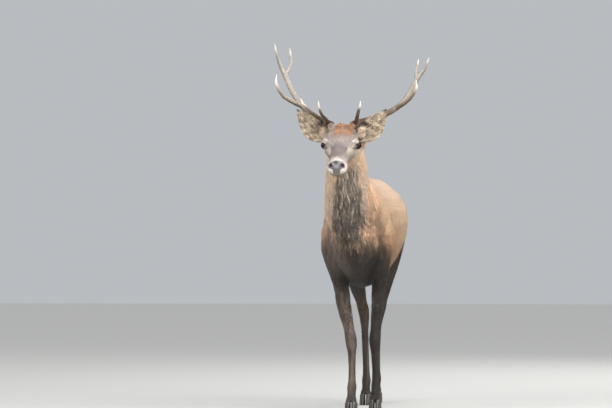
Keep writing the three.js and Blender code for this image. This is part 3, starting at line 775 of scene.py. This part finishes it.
# The same for the body: region, one or two places across, y, z, lie (out, back, up), depth, length, width
bodyGuides = [
    ("neck", [-0.03], -0.45, 1.36, (0, 1, -0.6), 6, 26, 4.4),
    ("neck", [-0.03], -0.62, 1.14, (0, 0.1, -1), 13, 34, 5.0),
    ("neck", [-0.12, 0.07], -0.46, 1.24, (0, 0.45, -1), 8, 40, 4.8),
    ("neck", [-0.12, 0.09], -0.40, 1.08, (0.05, 0.4, -1), 13, 44, 6.0),
    ("neck", [-0.02], -0.58, 1.00, (0, 0.05, -1), 17, 40, 5.4),
    ("neck", [-0.02], -0.28, 1.26, (0, 1, -0.5), 8, 28, 4.8),
    ("trunk", [-0.02], -0.20, 1.20, (0, 1, -0.15), 6, 28, 4.8),
    ("trunk", [-0.14, 0.13], -0.37, 1.06, (0.1, 0.5, -1), 7, 28, 4.8),
    ("trunk", [-0.10, 0.09], -0.27, 1.15, (0.1, 0.8, -0.8), 6, 27, 4.8),
    ("trunk", [0.01], -0.56, 0.86, (0, 0.15, -1), 14, 38, 5.6),
    ("trunk", [0.01], -0.48, 0.70, (0, 0.4, -1), 8, 26, 5.0),
    ("trunk", [-0.16, 0.17], -0.35, 1.00, (0.1, 0.5, -1), 7, 27, 4.8),
    ("trunk", [-0.17, 0.18], -0.25, 0.80, (0, 0.4, -1), 6, 22, 4.6),
    ("trunk", [-0.18, 0.20], 0.15, 1.00, (0, 1, -0.55), 6, 26, 4.8),
    ("trunk", [0.00], 0.20, 1.20, (0, 1, -0.1), 6, 26, 4.8),
    ("trunk", [0.00], 0.10, 0.64, (0, 1, -0.3), 9, 28, 5.0),
    ("trunk", [-0.16, 0.18], 0.50, 1.00, (0, 0.7, -1), 6, 26, 4.8),
    ("trunk", [0.00], 0.66, 1.08, (0, 0.7, -0.8), 6, 26, 4.8),
    ("trunk", [-0.12, 0.13], 0.55, 0.78, (0, 0.5, -1), 6, 24, 4.6),
    ("tail", [0.01], 0.68, 1.05, (0, 0.3, -1), 6, 26, 4.6),
    ("tail", [0.01], 0.74, 0.92, (0, 0.15, -1), 9, 36, 5.0),
    ("foreLegs", [0], -0.3, 0.66, (0, 0.2, -1), 4.5, 18, 4.0),
    ("foreLegs", [0], -0.3, 0.36, (0, 0.15, -1), 2.6, 12, 3.0),
    ("foreLegs", [0], -0.3, 0.20, (0, 0.15, -1), 2.2, 10, 2.8),
    ("foreLegs", [0], -0.3, 0.08, (0, 0.1, -1), 2.2, 10, 2.6),
    ("hindLegs", [0], 0.6, 0.74, (0, 0.3, -1), 5, 20, 4.2),
    ("hindLegs", [0], 0.6, 0.50, (0, 0.2, -1), 3.0, 14, 3.2),
    ("hindLegs", [0], 0.7, 0.25, (0, 0.1, -1), 2.4, 11, 2.8),
    ("hindLegs", [0], 0.7, 0.08, (0, 0.1, -1), 2.2, 10, 2.6),
    ("earLeft", [0.03], -0.57, 1.39, (1, -0.2, 0.35), 2.2, 12, 2.6),
    ("earLeft", [0.12], -0.60, 1.43, (0.9, -0.1, 0.6), 1.6, 12, 2.6),
    ("earLeft", [0.18], -0.60, 1.50, (0.55, 0, 1), 1.2, 9, 2.2),
    ("earRight", [-0.11], -0.57, 1.39, (1, -0.2, 0.35), 2.2, 12, 2.6),
    ("earRight", [-0.20], -0.60, 1.43, (0.9, -0.1, 0.6), 1.6, 12, 2.6),
    ("earRight", [-0.26], -0.60, 1.50, (0.55, 0, 1), 1.2, 9, 2.2),
]


comb = {
    "closest": 0.02,          # metres: evens out what the nearest guide alone would say
    "falloff": 4,
    "strangers": 1e-4,        # how much guides of other regions count
    "evening": 14,
    "legs": [0.05, 0.05, 1], "others": [0.6, 1, 1],   # what distance along x, y and z counts
}


def allGuides():
    rows = []
    for side in (-1, 1):
        for along, up, out, lie, *sizes in headGuides:
            turned = lie[0] * backAlong + lie[1] * upFrom + np.array([side * lie[2], 0, 0])
            rows.append(("head", onHead(along, up, side * out + headMiddle), turned, sizes))
    for region, across, y, z, lie, *sizes in bodyGuides:
        rows += [(region, (x, y, z), (np.sign(x) * lie[0], *lie[1:]), sizes) for x in across]
    return rows


def combed(points, regions, edges):
    # the lie, depth, length and width of the coat at each point, from the guides; nearer ones count for more
    total = np.zeros((len(points), 6))
    weight = np.zeros((len(points), 1))
    for region, place, lie, sizes in allGuides():
        stretch = comb["legs"] if region in ("foreLegs", "hindLegs") else comb["others"]
        far = np.linalg.norm((points - np.asarray(place)) * np.array(stretch), axis=1)
        own = np.where(regions == regionNumber[region], 1, comb["strangers"])
        near = 1 / (far + comb["closest"]) ** comb["falloff"] * own
        direction = np.asarray(lie) / np.linalg.norm(lie)
        total += near[:, None] * np.array([*direction, *(size / 1000 for size in sizes)])
        weight[:, 0] += near
    return spread(total / weight, edges, comb["evening"])


def pressed(points, centre, radii, move, soft=0.6):
    # moves points near a place, softly, as with a grab brush
    return points + blob(points, centre, radii, soft)[:, None] * np.asarray(move)


# Soft forms of the face, mirrored: place on the head, reach in x y z, move, softness
headForms = [
    (0.007, 0.000, 0.0300, (0.009, 0.012, 0.0085), -0.014 * np.array([0.45, -0.80, 0.15]), 0.45),   # nostril
    (0.014, 0.012, 0.036, (0.012, 0.012, 0.009), 0.0025 * upFrom, 0.6),        # its upper edge
    (0.140, -0.030, 0.060, (0.030, 0.045, 0.025), (-0.006, 0, 0), 0.7),        # cheek hollow
    (0.262, 0.030, 0.074, (0.016, 0.022, 0.014), (0.004, 0, 0.003), 0.6),      # brow
    (0.198, 0.000, 0.062, (0.010, 0.016, 0.012), (-0.005, 0.001, 0), 0.6),     # in front of the eye
    (0.215, -0.045, 0.075, (0.020, 0.040, 0.014), (0.004, 0, 0), 0.7),         # cheekbone
]
mouthDepth = 0.0035
# Soft forms of the body, on both flanks: y, z, reach in x y z, how far out
bodyForms = [
    (-0.30, 0.96, (0.05, 0.055, 0.15), 0.006),      # shoulder blade
    (-0.40, 0.80, (0.06, 0.07, 0.08), 0.006),       # upper arm
    (-0.36, 0.885, (0.06, 0.12, 0.018), -0.004),    # hollow between them
    (-0.16, 0.93, (0.06, 0.025, 0.16), -0.005),     # behind the shoulder
    (0.42, 1.08, (0.07, 0.05, 0.05), 0.005),        # hip
    (0.30, 0.90, (0.07, 0.05, 0.12), -0.006),       # flank
]
flanks = ((-1, -0.155), (1, 0.165))           # side, x
underTail = ((0.01, 0.765, 0.915), (0.05, 0.045, 0.07), (0, -0.020, 0), 0.7)

# Forms that the hair fills out: ear roots, neck behind the jaw, the two crown tufts (middle, reach in x y z)
fullHair = [
    (onHead(0.342, 0.014, -0.088), (0.028, 0.024, 0.040)),
    (onHead(0.342, 0.014, 0.094), (0.028, 0.024, 0.040)),
    ((0.052, -0.520, 1.362), (0.028, 0.032, 0.034)),
    ((-0.098, -0.520, 1.350), (0.024, 0.032, 0.040)),
    ((-0.049, -0.588, 1.449), (0.017, 0.024, 0.014)),
    ((0.011, -0.588, 1.445), (0.017, 0.024, 0.014)),
]


def shapeHead(points):
    for side in (-1, 1):
        for along, up, out, reach, move, soft in headForms:
            points = pressed(points, onHead(along, up, side * out), reach, np.array(move) * [side, 1, 1], soft)
    middle = np.c_[np.full(len(points), nose[0]), points[:, 1:]]
    inward = unit(middle - points + 0.5 * backAlong * 0.05)
    return points + inward * (mouthMask(points) * mouthDepth)[:, None]


def shapeBody(points):
    for side, x in flanks:
        for y, z, reach, outward in bodyForms:
            points = pressed(points, (x, y, z), reach, (side * outward, 0, 0), 0.8)
    return pressed(points, *underTail)


def fillOut(piece):
    for middle, reach in fullHair:
        form = added(bpy.ops.mesh.primitive_uv_sphere_add, segments=24, ring_count=16, radius=1, location=middle)
        form.scale = reach
        bpy.ops.object.transform_apply(location=True, scale=True)
        piece.select_set(True)
        bpy.context.view_layer.objects.active = piece
        bpy.ops.object.join()


def makeSkin():
    piece = mergedCopy(fleshNames, "skin")
    fillOut(piece)
    remesh(piece, skin["grain"])
    mesh = piece.data
    print("skin remeshed", len(mesh.vertices))
    points, edges = pointsOf(mesh), edgesOf(mesh)
    regions = regionsAt(points)
    points = soften(points, edges, skin["smoothing"])
    # a softer join of neck and shoulders
    neck = spread(isIn(regions, "neck")[:, None], edges, 40)
    join = 4 * neck * (1 - neck) * smooth(*skin["joinBelow"], points[:, 2:3])
    points = points + np.clip(1.4 * join, 0, 1) * (spread(points, edges, skin["joinSmoothing"]) - points)
    setPoints(mesh, points)
    # in by the depth of the coat
    points = points - normalsOf(mesh) * combed(points, regions, edges)[:, 3:4]
    setPoints(mesh, shapeBody(spread(points, edges, 2, 0.4)))
    # fewer faces on the body, finer ones round the eyes and nose
    selectPoints(piece, ~isIn(regions, "head", "earLeft", "earRight"))
    bpy.ops.mesh.decimate(ratio=skin["bodyKeep"])
    setMode("OBJECT")
    points = pointsOf(mesh)
    near = np.linalg.norm(points - onHead(0.012, -0.015), axis=1) < skin["fineNose"]
    for side in (-1, 1):
        near |= np.linalg.norm(points - eyeMiddle(side), axis=1) < skin["fineRound"]
    selectPoints(piece, near)
    bpy.ops.mesh.subdivide(number_cuts=1, smoothness=0)
    setMode("OBJECT")
    points = openLids(shapeHead(pointsOf(mesh)))
    setPoints(mesh, points)
    selectPoints(piece, np.ones(len(points)))
    bpy.ops.mesh.quads_convert_to_tris()
    setMode("OBJECT")
    bpy.ops.object.shade_smooth()
    print("skin shaped", len(mesh.vertices), len(mesh.polygons))
    return piece


def dressSkin(piece):
    mesh = piece.data
    points, edges, normals = pointsOf(mesh), edgesOf(mesh), normalsOf(mesh)
    regions = regionsAt(points)
    shares = spread(np.eye(len(regionNumber))[regions], edges, 12)
    neck = regionNumber["neck"]
    shares[:, neck] = spread(shares[:, neck], edges, 50)
    colour = coatColour(points, shares, normals) * skin["shade"]
    ears = shares[:, regionNumber["earLeft"]] + shares[:, regionNumber["earRight"]]
    colour *= (1 - skin["earShade"] * ears * smooth(0.0, 0.35, -normals[:, 1]))[:, None]
    addColours(mesh, "coatTint", colour)
    bare = np.clip(padMask(points) + nostrilMask(points) + lidMask(points) * 0.8, 0, 1)
    addAttribute(mesh, "bareSkin", "FLOAT", bare * isIn(regions, "head"))
    mesh.materials.append(skinMaterial())
    # unwrap for the bake
    selectPoints(piece, np.ones(len(points)))
    bpy.ops.mesh.select_mode(type="FACE")
    bpy.ops.mesh.select_all(action="SELECT")
    if not mesh.uv_layers:
        mesh.uv_layers.new(name="OFBake")
    bpy.ops.uv.smart_project(angle_limit=math.radians(66), island_margin=0.002)
    setMode("OBJECT")
    return regions, shares


# The coat: locks of hair, modelled once and laid over the skin
locks = {
    "rings": (0.28, 0.55, 0.8),       # where a long lock bends; a short one is straight
    "fullness": 0.45,         # how long it keeps its width towards the tip
    "flat": 0.55,             # half width to either side, in lock widths
    "patch": 0.003,           # size of each lock on the unwrap
    "shortSway": 0.06, "longSway": 0.16,
    "lengths": (0.75, 1.25), "widths": (0.8, 1.25), "rises": (0.75, 1.2),     # how much locks differ
    "root": 0.10, "tip": 0.95,        # height over the hide, in coat depths
    "under": 0.0012,          # how deep the roots sit in the hide
    "shadedRoot": 0.82, "shadeLiftToTip": 0.30,        # painted shade: darker at the root, where the locks cover one another, and what the tip has more
    "throatMottle": 0.26,     # how much more the locks of the throat differ in tone
}


def modelLock(title, rings):
    # a slim three-sided lock, one unit long and standing up, with rings where it may bend
    lock = added(bpy.ops.mesh.primitive_cone_add, vertices=3, radius1=1, radius2=0, depth=1, location=(0, 0, 0.5))
    lock.name = title
    bpy.ops.object.transform_apply(location=True)
    setMode("EDIT")
    for height in rings:
        bpy.ops.mesh.select_all(action="SELECT")
        bpy.ops.mesh.bisect(plane_co=(0, 0, height), plane_no=(0, 0, 1))
    bpy.ops.mesh.select_all(action="SELECT")
    bpy.ops.mesh.normals_make_consistent(inside=False)
    setMode("OBJECT")
    shape = pointsOf(lock.data)
    faces = [list(polygon.vertices) for polygon in lock.data.polygons]
    bpy.data.objects.remove(lock)
    levels, level = np.unique(np.round(shape[:, 2], 4), return_inverse=True)
    return {"shape": shape, "faces": faces, "levels": levels, "level": level.ravel()}


def layLocks(title, lock, paths, sides, tops, widths, thick, tint, maps, seed):
    # paths: for each lock its points at the lock's own levels, root to tip
    shape, level, faces = lock["shape"], lock["level"], lock["faces"]
    count, corners = len(paths), len(shape)
    up = shape[:, 2]
    fuller = np.where(up < 0.999, np.maximum(1 - up, 1e-3) ** -locks["fullness"], 0)
    across, high = shape[:, 1] * fuller, -shape[:, 0] * fuller
    place = paths[:, level]                                     # lock, corner, xyz
    place = place + sides[:, level] * (across[None, :] * widths[:, None] * locks["flat"])[..., None]
    place = place + tops[:, level] * (high[None, :] * widths[:, None] * thick)[..., None]
    loops = (np.arange(count)[:, None] * corners + np.concatenate(faces)[None, :]).ravel()
    starts = np.r_[0, np.cumsum(np.tile([len(face) for face in faces], count))[:-1]]
    mesh = bpy.data.meshes.new(title)
    mesh.vertices.add(count * corners)
    mesh.vertices.foreach_set("co", place.ravel())
    mesh.loops.add(len(loops))
    mesh.loops.foreach_set("vertex_index", loops)
    mesh.polygons.add(len(starts))
    mesh.polygons.foreach_set("loop_start", starts)
    mesh.polygons.foreach_set("use_smooth", np.ones(len(starts), dtype=bool))
    mesh.update(calc_edges=True)
    small = np.stack([shape[:, 1] / 2 * locks["patch"], (up - 0.5) * locks["patch"]], axis=1)
    onMap = (maps[:, None, :] + small[None]).reshape(-1, 2)
    mesh.uv_layers.new(name="OFBake").data.foreach_set("uv", onMap[loops].astype(np.float32).ravel())
    own = np.random.default_rng(seed).uniform(0, 50, (count, 1))
    strand = np.stack([across + own, up * 3 + own, own * 3 + 0 * up], axis=2)
    addAttribute(mesh, "strand", "FLOAT_VECTOR", strand)
    addColours(mesh, "coatTint", tint[:, level].reshape(-1, 3))
    piece = bpy.data.objects.new(title, mesh)
    intoScene(piece)
    mesh.materials.append(coatPaint)
    return piece


def mixAt(values, corner, share):
    wide = share.reshape(len(share), 3, *([1] * (values.ndim - 1)))
    return (values[corner] * wide).sum(axis=1)


def skinSamples(mesh, chosen, spacing, seed):
    # even but unruled places on the chosen faces: many throws, one kept in each small cell
    draw = np.random.default_rng(seed)
    corner = cornersOf(mesh)[chosen]
    uv = readOut(mesh.uv_layers["OFBake"].data, "uv", 2, np.float32).reshape(-1, 3, 2)[chosen]
    points = pointsOf(mesh)
    a, b, c = (points[corner[:, i]] for i in range(3))
    area = np.linalg.norm(np.cross(b - a, c - a), axis=1) / 2
    gap = spacing[corner].mean(axis=1)
    face = np.repeat(np.arange(len(corner)), draw.poisson(area / gap ** 2 * 3.2))
    face = draw.permutation(face)
    u, v = draw.uniform(size=(2, len(face)))
    flip = u + v > 1
    u[flip], v[flip] = 1 - u[flip], 1 - v[flip]
    share = np.stack([1 - u - v, u, v], axis=1)
    place = mixAt(points, corner[face], share)
    cell = np.floor(place / gap[face][:, None] * 0.98 + 1000).astype(np.int64)
    key = (cell[:, 0] * 73856093) ^ (cell[:, 1] * 19349663) ^ (cell[:, 2] * 83492791)
    kept = np.sort(np.unique(key, return_index=True)[1])
    face, share = face[kept], share[kept]
    return corner[face], share, place[kept], (uv[face] * share[..., None]).sum(axis=1)


# Coat pieces: faces by region and y, room between locks in lock widths, how fine, thick and unruly,
# how much locks differ in tone, long locks or short; what a piece doesn't say is as in usualCoat
usualCoat = {"within": (-9, 9), "room": 1.18, "fine": 0.70, "thick": 0.34, "unruly": 0.10, "grizzle": 0.095,
             "long": False, "slot": "coat_flank", "breast": False, "inside": False, "lock": None}
coatPieces = {
    "coat_face": {"regions": ["head"], "room": 1.15, "fine": 0.85, "grizzle": 0.15, "slot": "coat_face"},
    "coat_ears": {"regions": ["earLeft", "earRight"], "room": 1.25, "fine": 0.8, "grizzle": 0.16,
                  "slot": "coat_face"},
    "coat_ear_tufts": {"regions": ["earLeft", "earRight"], "inside": True, "lock": (0.0040, 0.030, 0.0066),
                       "room": 0.80, "fine": 1.0, "thick": 0.14, "unruly": 0.30, "grizzle": 0.10, "long": True,
                       "slot": "coat_face"},
    "coat_throat": {"regions": ["neck"], "within": (-9, -0.50), "room": 1.15, "fine": 0.78,
                    "unruly": 0.17, "grizzle": 0.14, "long": True, "slot": "coat_neck"},
    "coat_nape": {"regions": ["neck"], "within": (-0.50, 9), "room": 1.15, "fine": 0.88,
                  "unruly": 0.14, "grizzle": 0.12, "long": True, "slot": "coat_neck"},
    "coat_chest": {"regions": ["trunk"], "within": (-9, -0.10)},
    "coat_barrel": {"regions": ["trunk"], "within": (-0.10, 0.33)},
    "coat_rump": {"regions": ["trunk"], "within": (0.33, 9)},
    "coat_fore_legs": {"regions": ["foreLegs"], "room": 1.4, "fine": 0.8, "grizzle": 0.12, "slot": "coat_dark"},
    "coat_hind_legs": {"regions": ["hindLegs"], "room": 1.4, "fine": 0.8, "grizzle": 0.12, "slot": "coat_dark"},
    "coat_tail": {"regions": ["tail"], "room": 1.1, "fine": 0.8, "long": True},
    "coat_breast": {"regions": ["trunk"], "breast": True, "room": 1.2, "fine": 0.8, "grizzle": 0.2,
                    "long": True, "slot": "coat_neck"},
}
coatEdges = {
    "breast": 0.031,          # hair longer than this on the chest grows as long locks
    "breastEnd": -0.18,       # y
    "mane": 0.32,             # share of neck above which the trunk has the neck's hair
    "bare": 0.35,             # none where the skin is barer than this
    "hoof": 0.064,            # nor below this height
    "earFacing": -0.55, "earTop": 1.515,      # tufts on the open side of the ear, clear of its rim
}


def facesFor(plan, skinFaces):
    # which faces of the skin this piece of the coat grows on
    y, z = skinFaces["middle"][:, 1], skinFaces["middle"][:, 2]
    chosen = isIn(skinFaces["region"], *plan["regions"]) & skinFaces["clear"]
    chosen &= (y >= plan["within"][0]) & (y < plan["within"][1])
    if "trunk" in plan["regions"]:
        chosen &= skinFaces["breast"] == plan["breast"]
    if plan["inside"]:
        chosen &= (skinFaces["facing"] < coatEdges["earFacing"]) & (z < coatEdges["earTop"])
    return chosen


def readFaces(mesh, regions, shares, coat):
    corner = cornersOf(mesh)
    middle = pointsOf(mesh)[corner].mean(axis=1)
    bare = readOut(mesh.attributes["bareSkin"].data, "value", 1, np.float32)[corner, 0].max(axis=1)
    ragged = 0.0045 * ripple(middle, 0.030, 71) + 0.003 * ripple(middle, 0.010, 73)
    mane = shares[corner, regionNumber["neck"]].mean(axis=1) + 20 * ragged      # the neck hair runs out unevenly
    region = regions[corner[:, 0]]
    region[isIn(region, "trunk") & (mane > coatEdges["mane"])] = regionNumber["neck"]
    length = coat[corner, 4].mean(axis=1) + 0.35 * ragged
    return {
        "middle": middle,
        "region": region,
        "facing": normalsOf(mesh)[corner].mean(axis=1)[:, 1],
        "clear": (bare < coatEdges["bare"]) & (middle[:, 2] > coatEdges["hoof"]),
        "breast": (length > coatEdges["breast"]) & (middle[:, 1] < coatEdges["breastEnd"]),
    }


def growCoat(skinPiece, regions, shares):
    mesh = skinPiece.data
    normals = normalsOf(mesh)
    combing = combed(pointsOf(mesh), regions, edgesOf(mesh))
    skinFaces = readFaces(mesh, regions, shares, combing)
    tree = BVHTree.FromObject(skinPiece, bpy.context.evaluated_depsgraph_get())
    for seed, (title, own) in enumerate(coatPieces.items()):
        plan = {**usualCoat, **own}
        draw = np.random.default_rng(100 + seed)
        coat = np.array(combing)
        if plan["lock"]:
            coat[:, 3:6] = plan["lock"]
        spacing = coat[:, 5] * plan["room"] * plan["fine"]
        corners, share, place, maps = skinSamples(mesh, facesFor(plan, skinFaces), spacing, 40 + seed)
        count = len(place)
        normal = unit(mixAt(normals, corners, share))
        field = mixAt(coat, corners, share)
        lie = unit(field[:, :3]) + draw.normal(0, plan["unruly"], (count, 3))
        lie = unit(lie - (lie * normal).sum(axis=1, keepdims=True) * normal)
        depth = field[:, 3]
        length = field[:, 4] * draw.uniform(*locks["lengths"], count)
        width = field[:, 5] * plan["fine"] * draw.uniform(*locks["widths"], count)
        lock = longLock if plan["long"] else shortLock
        levels = lock["levels"]
        paths = np.zeros((count, len(levels), 3))
        sides, tops = paths.copy(), paths.copy()
        sway = np.cross(normal, lie)
        wave = draw.normal(0, locks["longSway"] if plan["long"] else locks["shortSway"], count)
        rise = draw.uniform(*locks["rises"], count)
        for step, level in enumerate(levels):
            bend = wave * np.sin(level * 2.6)
            spot = place + lie * (length * level)[:, None] + sway * (length * bend)[:, None]
            height = depth * rise * (locks["root"] + locks["tip"] * level ** 0.8) - locks["under"] * (level == 0)
            for number in range(count):
                paths[number, step], tops[number, step] = tree.find_nearest(spot[number])[:2]
            tops[:, step] = unit(tops[:, step] + normal * 0.8)
            paths[:, step] += tops[:, step] * height[:, None]
            sides[:, step] = unit(np.cross(tops[:, step], lie))
        belongs = mixAt(shares, corners, share)
        base = np.stack([coatColour(paths[:, step], belongs, normal) for step in range(len(levels))], axis=1)
        mottled = plan["grizzle"] + locks["throatMottle"] * throatMask(place) * plan["long"]
        shade = (1 + draw.normal(0, 1, count) * mottled).clip(0.4, 1.8)[:, None, None]
        # painted shade on each lock, darkest at its root
        rootShading = (locks["shadedRoot"] + locks["shadeLiftToTip"] * levels)[None, :, None]
        base = np.clip(base * shade * rootShading, 0.002, 0.95)
        hair = layLocks(title, lock, paths, sides, tops, width, plan["thick"], base, maps, 70 + seed)
        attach(hair, "root")
        triangles = sum(len(polygon.vertices) - 2 for polygon in hair.data.polygons)
        print(title, count, "locks", triangles, "triangles")


def eyePaint():
    paint = newMaterial("eye", (0.006, 0.004, 0.003), 0.06, Specular_IOR_Level=0.16)
    place = attributeOf(paint, "irisPlace", "Vector")
    wide = addNode(paint, "ShaderNodeVectorMath", operation="LENGTH")
    wire(paint, stretched(paint, place, (0.62, 1.0, 0.0)), wide.inputs[0])
    iris = rampOf(paint, wide.outputs["Value"], [
        (0.0, (0.002, 0.002, 0.003)), (0.30, (0.002, 0.002, 0.003)), (0.36, (0.030, 0.014, 0.007)),
        (0.60, (0.018, 0.009, 0.005)), (0.72, (0.004, 0.003, 0.003))])
    shadeBase(paint, iris, rampOf(paint, grainNoise(paint, place, (60, 60, 1), 4.0), [(0.3, 0.6), (0.7, 1.4)]))
    return paint["material"]


def makeEye(side, node, title):
    eye = added(bpy.ops.mesh.primitive_uv_sphere_add, segments=48, ring_count=32, radius=eyes["radius"])
    eye.name = eye.data.name = title
    ball = pointsOf(eye.data)
    own = ball / eyes["radius"]
    ball[:, 2] += smooth(0.72, 0.95, own[:, 2]) * eyes["bulge"]
    ahead = gazeOf(side)
    across = unit(np.cross([0, 0, 1.0], ahead))
    high = np.cross(ahead, across)
    turned = ball[:, :1] * across + ball[:, 1:2] * high + ball[:, 2:] * ahead
    addAttribute(eye.data, "irisPlace", "FLOAT_VECTOR", own)
    setPoints(eye.data, turned + eyeMiddle(side))
    bpy.ops.object.shade_smooth()
    eye.data.materials.append(eyeMaterial)
    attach(eye, "root")
    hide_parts(node)
    print(title, "set")


antlerLook = {
    "grain": 0.0020,
    "smoothing": 12,
    "groove": 0.00045,        # depth of the lengthwise furrows
    "pearl": 0.0016,          # height of the beads near the burr
    "burrLevel": 1.455,
    "pearlFade": 0.05,
    "inFurrows": 0.30,        # how much darker the furrows are
}
# antler tones; the one called under is painted shade for the downward-facing sides
hornTints = {name: fromScreen(*tone) for name, tone in {
    "base": (72, 54, 41), "beam": (142, 132, 120), "pale": (170, 165, 157), "tip": (222, 215, 202),
    "under": (98, 76, 56)}.items()}


def centreLine(name, pieces=9):
    points = pointsOf(frame["nodes"][name].data)
    middle = points.mean(axis=0)
    axis = np.linalg.svd(points - middle, full_matrices=False)[2][0]
    if axis[2] < 0:
        axis = -axis
    place = (points - middle) @ axis
    bounds = np.linspace(place.min(), place.max() + 1e-6, pieces + 1)
    slices = [(place >= low) & (place < high) for low, high in zip(bounds, bounds[1:])]
    return np.array([points[chosen].mean(axis=0) for chosen in slices if chosen.any()])


def alongLines(points, names):
    # for each point: nearest tine, distance along it, how far along as a share, angle round it
    best = np.full(len(points), 9.0)
    owner, reach, share, angle = np.zeros((4, len(points)))
    for number, name in enumerate(names):
        line = centreLine(name)
        run = np.r_[0, np.cumsum(np.linalg.norm(np.diff(line, axis=0), axis=1))]
        for a, b, start in zip(line, line[1:], run):
            way = b - a
            t = np.clip(((points - a) @ way) / (way @ way), 0, 1)
            off = points - (a + t[:, None] * way)
            far = np.linalg.norm(off, axis=1)
            closer = far < best
            one = unit(np.cross(way, [0.3, 1.0, 0.2]))
            two = unit(np.cross(way, one))
            passed = start + t * np.linalg.norm(way)
            for kept, value in ((best, far), (owner, number), (reach, passed), (share, passed / run[-1]),
                                (angle, np.arctan2(off @ two, off @ one))):
                kept[:] = np.where(closer, value, kept)
    return owner.astype(int), reach, share, angle


def antlerPaint():
    paint = newMaterial("antler", (0.45, 0.40, 0.33), 0.55, Specular_IOR_Level=0.4)
    furrows = grainNoise(paint, attributeOf(paint, "hornGrain", "Vector"), (1.0, 1.0, 0.06), 5.0, 4, 0.6)
    stain = rampOf(paint, furrows, [(0.30, (0.62, 0.57, 0.52)), (0.52, (0.96, 0.95, 0.94)), (0.75, 1.1)])
    shadeBase(paint, attributeOf(paint, "hornTint"), stain)
    bumpFrom(paint, furrows, 0.6, 0.0012)
    return paint["material"]


def makeAntler(title, names):
    piece = mergedCopy(names, title)
    remesh(piece, antlerLook["grain"])
    mesh = piece.data
    points = soften(pointsOf(mesh), edgesOf(mesh), antlerLook["smoothing"])
    setPoints(mesh, points)
    owner, reach, share, angle = alongLines(points, names)
    onTine = np.array(["beam" not in name for name in names])[owner]
    onBrow = np.array(["brow" in name for name in names])[owner]
    toTip = share * onTine
    bark = 1 - smooth(0.45, 0.9, toTip)
    wander = ripple(points, 0.03, 9)
    furrow = np.sin(angle * 7 + wander * 2.2 + reach * 9) * 0.6
    furrow = furrow + np.sin(angle * 13 + reach * 31 + wander * 3) * 0.4
    lowDown = np.maximum(points[:, 2] - antlerLook["burrLevel"], 0)
    beads = ripple(points, 0.0045, 17).clip(0, 1) * np.exp(-lowDown / antlerLook["pearlFade"]) * ~onTine
    relief = bark * furrow * antlerLook["groove"] + beads * antlerLook["pearl"]
    points = points + normalsOf(mesh) * relief[:, None]
    setPoints(mesh, points)
    height = points[:, 2]
    colour = np.tile(hornTints["base"], (len(points), 1))
    brush = brushOn(colour, hornTints)
    brush(smooth(1.47, 1.60, height + 0.02 * wander), "beam")
    brush(smooth(1.60, 1.74, height) * 0.6, "pale")
    # painted shade: the undersides of the beams and lower tines darker brown
    brush(smooth(0.1, 0.8, -normalsOf(mesh)[:, 2]) * (1 - smooth(0.5, 0.9, toTip)) * 0.7, "under")
    brush(onBrow * (1 - smooth(0.45, 0.80, share)) * 0.75, "base")
    brush(smooth(0.66, 0.90, toTip), "tip")
    colour *= (1 - antlerLook["inFurrows"] * bark * smooth(0.2, 1.0, -furrow))[:, None]
    addColours(mesh, "hornTint", colour)
    addAttribute(mesh, "hornGrain", "FLOAT_VECTOR", np.stack([np.cos(angle), np.sin(angle), reach * 60], axis=1))
    makeActive(piece)
    bpy.ops.object.shade_smooth()
    mesh.materials.append(antlerMaterial)
    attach(piece, "root")
    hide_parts(*names)
    print(title, len(mesh.polygons), "faces")


hoofLook = {"grain": 0.0022, "smoothing": 8, "sole": 0.0016, "creaseAngle": 40}   # what is under "sole" is laid flat


def hoofPaint():
    paint = newMaterial("hoof horn", (0.03, 0.026, 0.024), 0.42, Specular_IOR_Level=0.45)
    place = addNode(paint, "ShaderNodeTexCoord").outputs["Object"]
    rings = grainNoise(paint, place, (18, 18, 330), 1.0)
    shade = rampOf(paint, rings, [(0.3, (0.016, 0.013, 0.012)), (0.7, (0.060, 0.050, 0.043))])
    wire(paint, shade, paint["shader"].inputs["Base Color"])
    bumpFrom(paint, rings, 0.6, 0.0010)
    return paint["material"]


def makeHoof(title, name):
    piece = mergedCopy([name], title)
    remesh(piece, hoofLook["grain"])
    mesh = piece.data
    points = soften(pointsOf(mesh), edgesOf(mesh), hoofLook["smoothing"])
    points[points[:, 2] < hoofLook["sole"], 2] = 0.0
    setPoints(mesh, points)
    makeActive(piece)
    bpy.ops.object.shade_smooth_by_angle(angle=math.radians(hoofLook["creaseAngle"]))
    mesh.materials.append(hoofMaterial)
    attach(piece, "root")
    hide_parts(name)
    print(title, len(mesh.polygons), "faces")


print("helpers ready")
solidTree, solidOwners = fleshTree()
skinPiece = makeSkin()
skinRegions, skinShares = dressSkin(skinPiece)
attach(skinPiece, "root")
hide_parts(*fleshNames)
shortLock = modelLock("short lock", ())
longLock = modelLock("long lock", locks["rings"])
coatPaint = coatMaterial()
growCoat(skinPiece, skinRegions, skinShares)
eyeMaterial = eyePaint()
makeEye(-1, "eye_right", "eyeball_right")
makeEye(1, "eye_left", "eyeball_left")
antlerMaterial = antlerPaint()
for antlerSide in ("left", "right"):
    makeAntler(f"antler_{antlerSide}_whole",
               [name for name in frame["nodes"] if name.startswith(f"antler_{antlerSide}_")])
hoofMaterial = hoofPaint()
for clawName in [name for name in frame["nodes"] if name.startswith("hoof_")]:
    makeHoof(clawName.replace("hoof", "claw"), clawName)
setCamera()
setLights()
layFloor()
print("camera, lights and floor set")
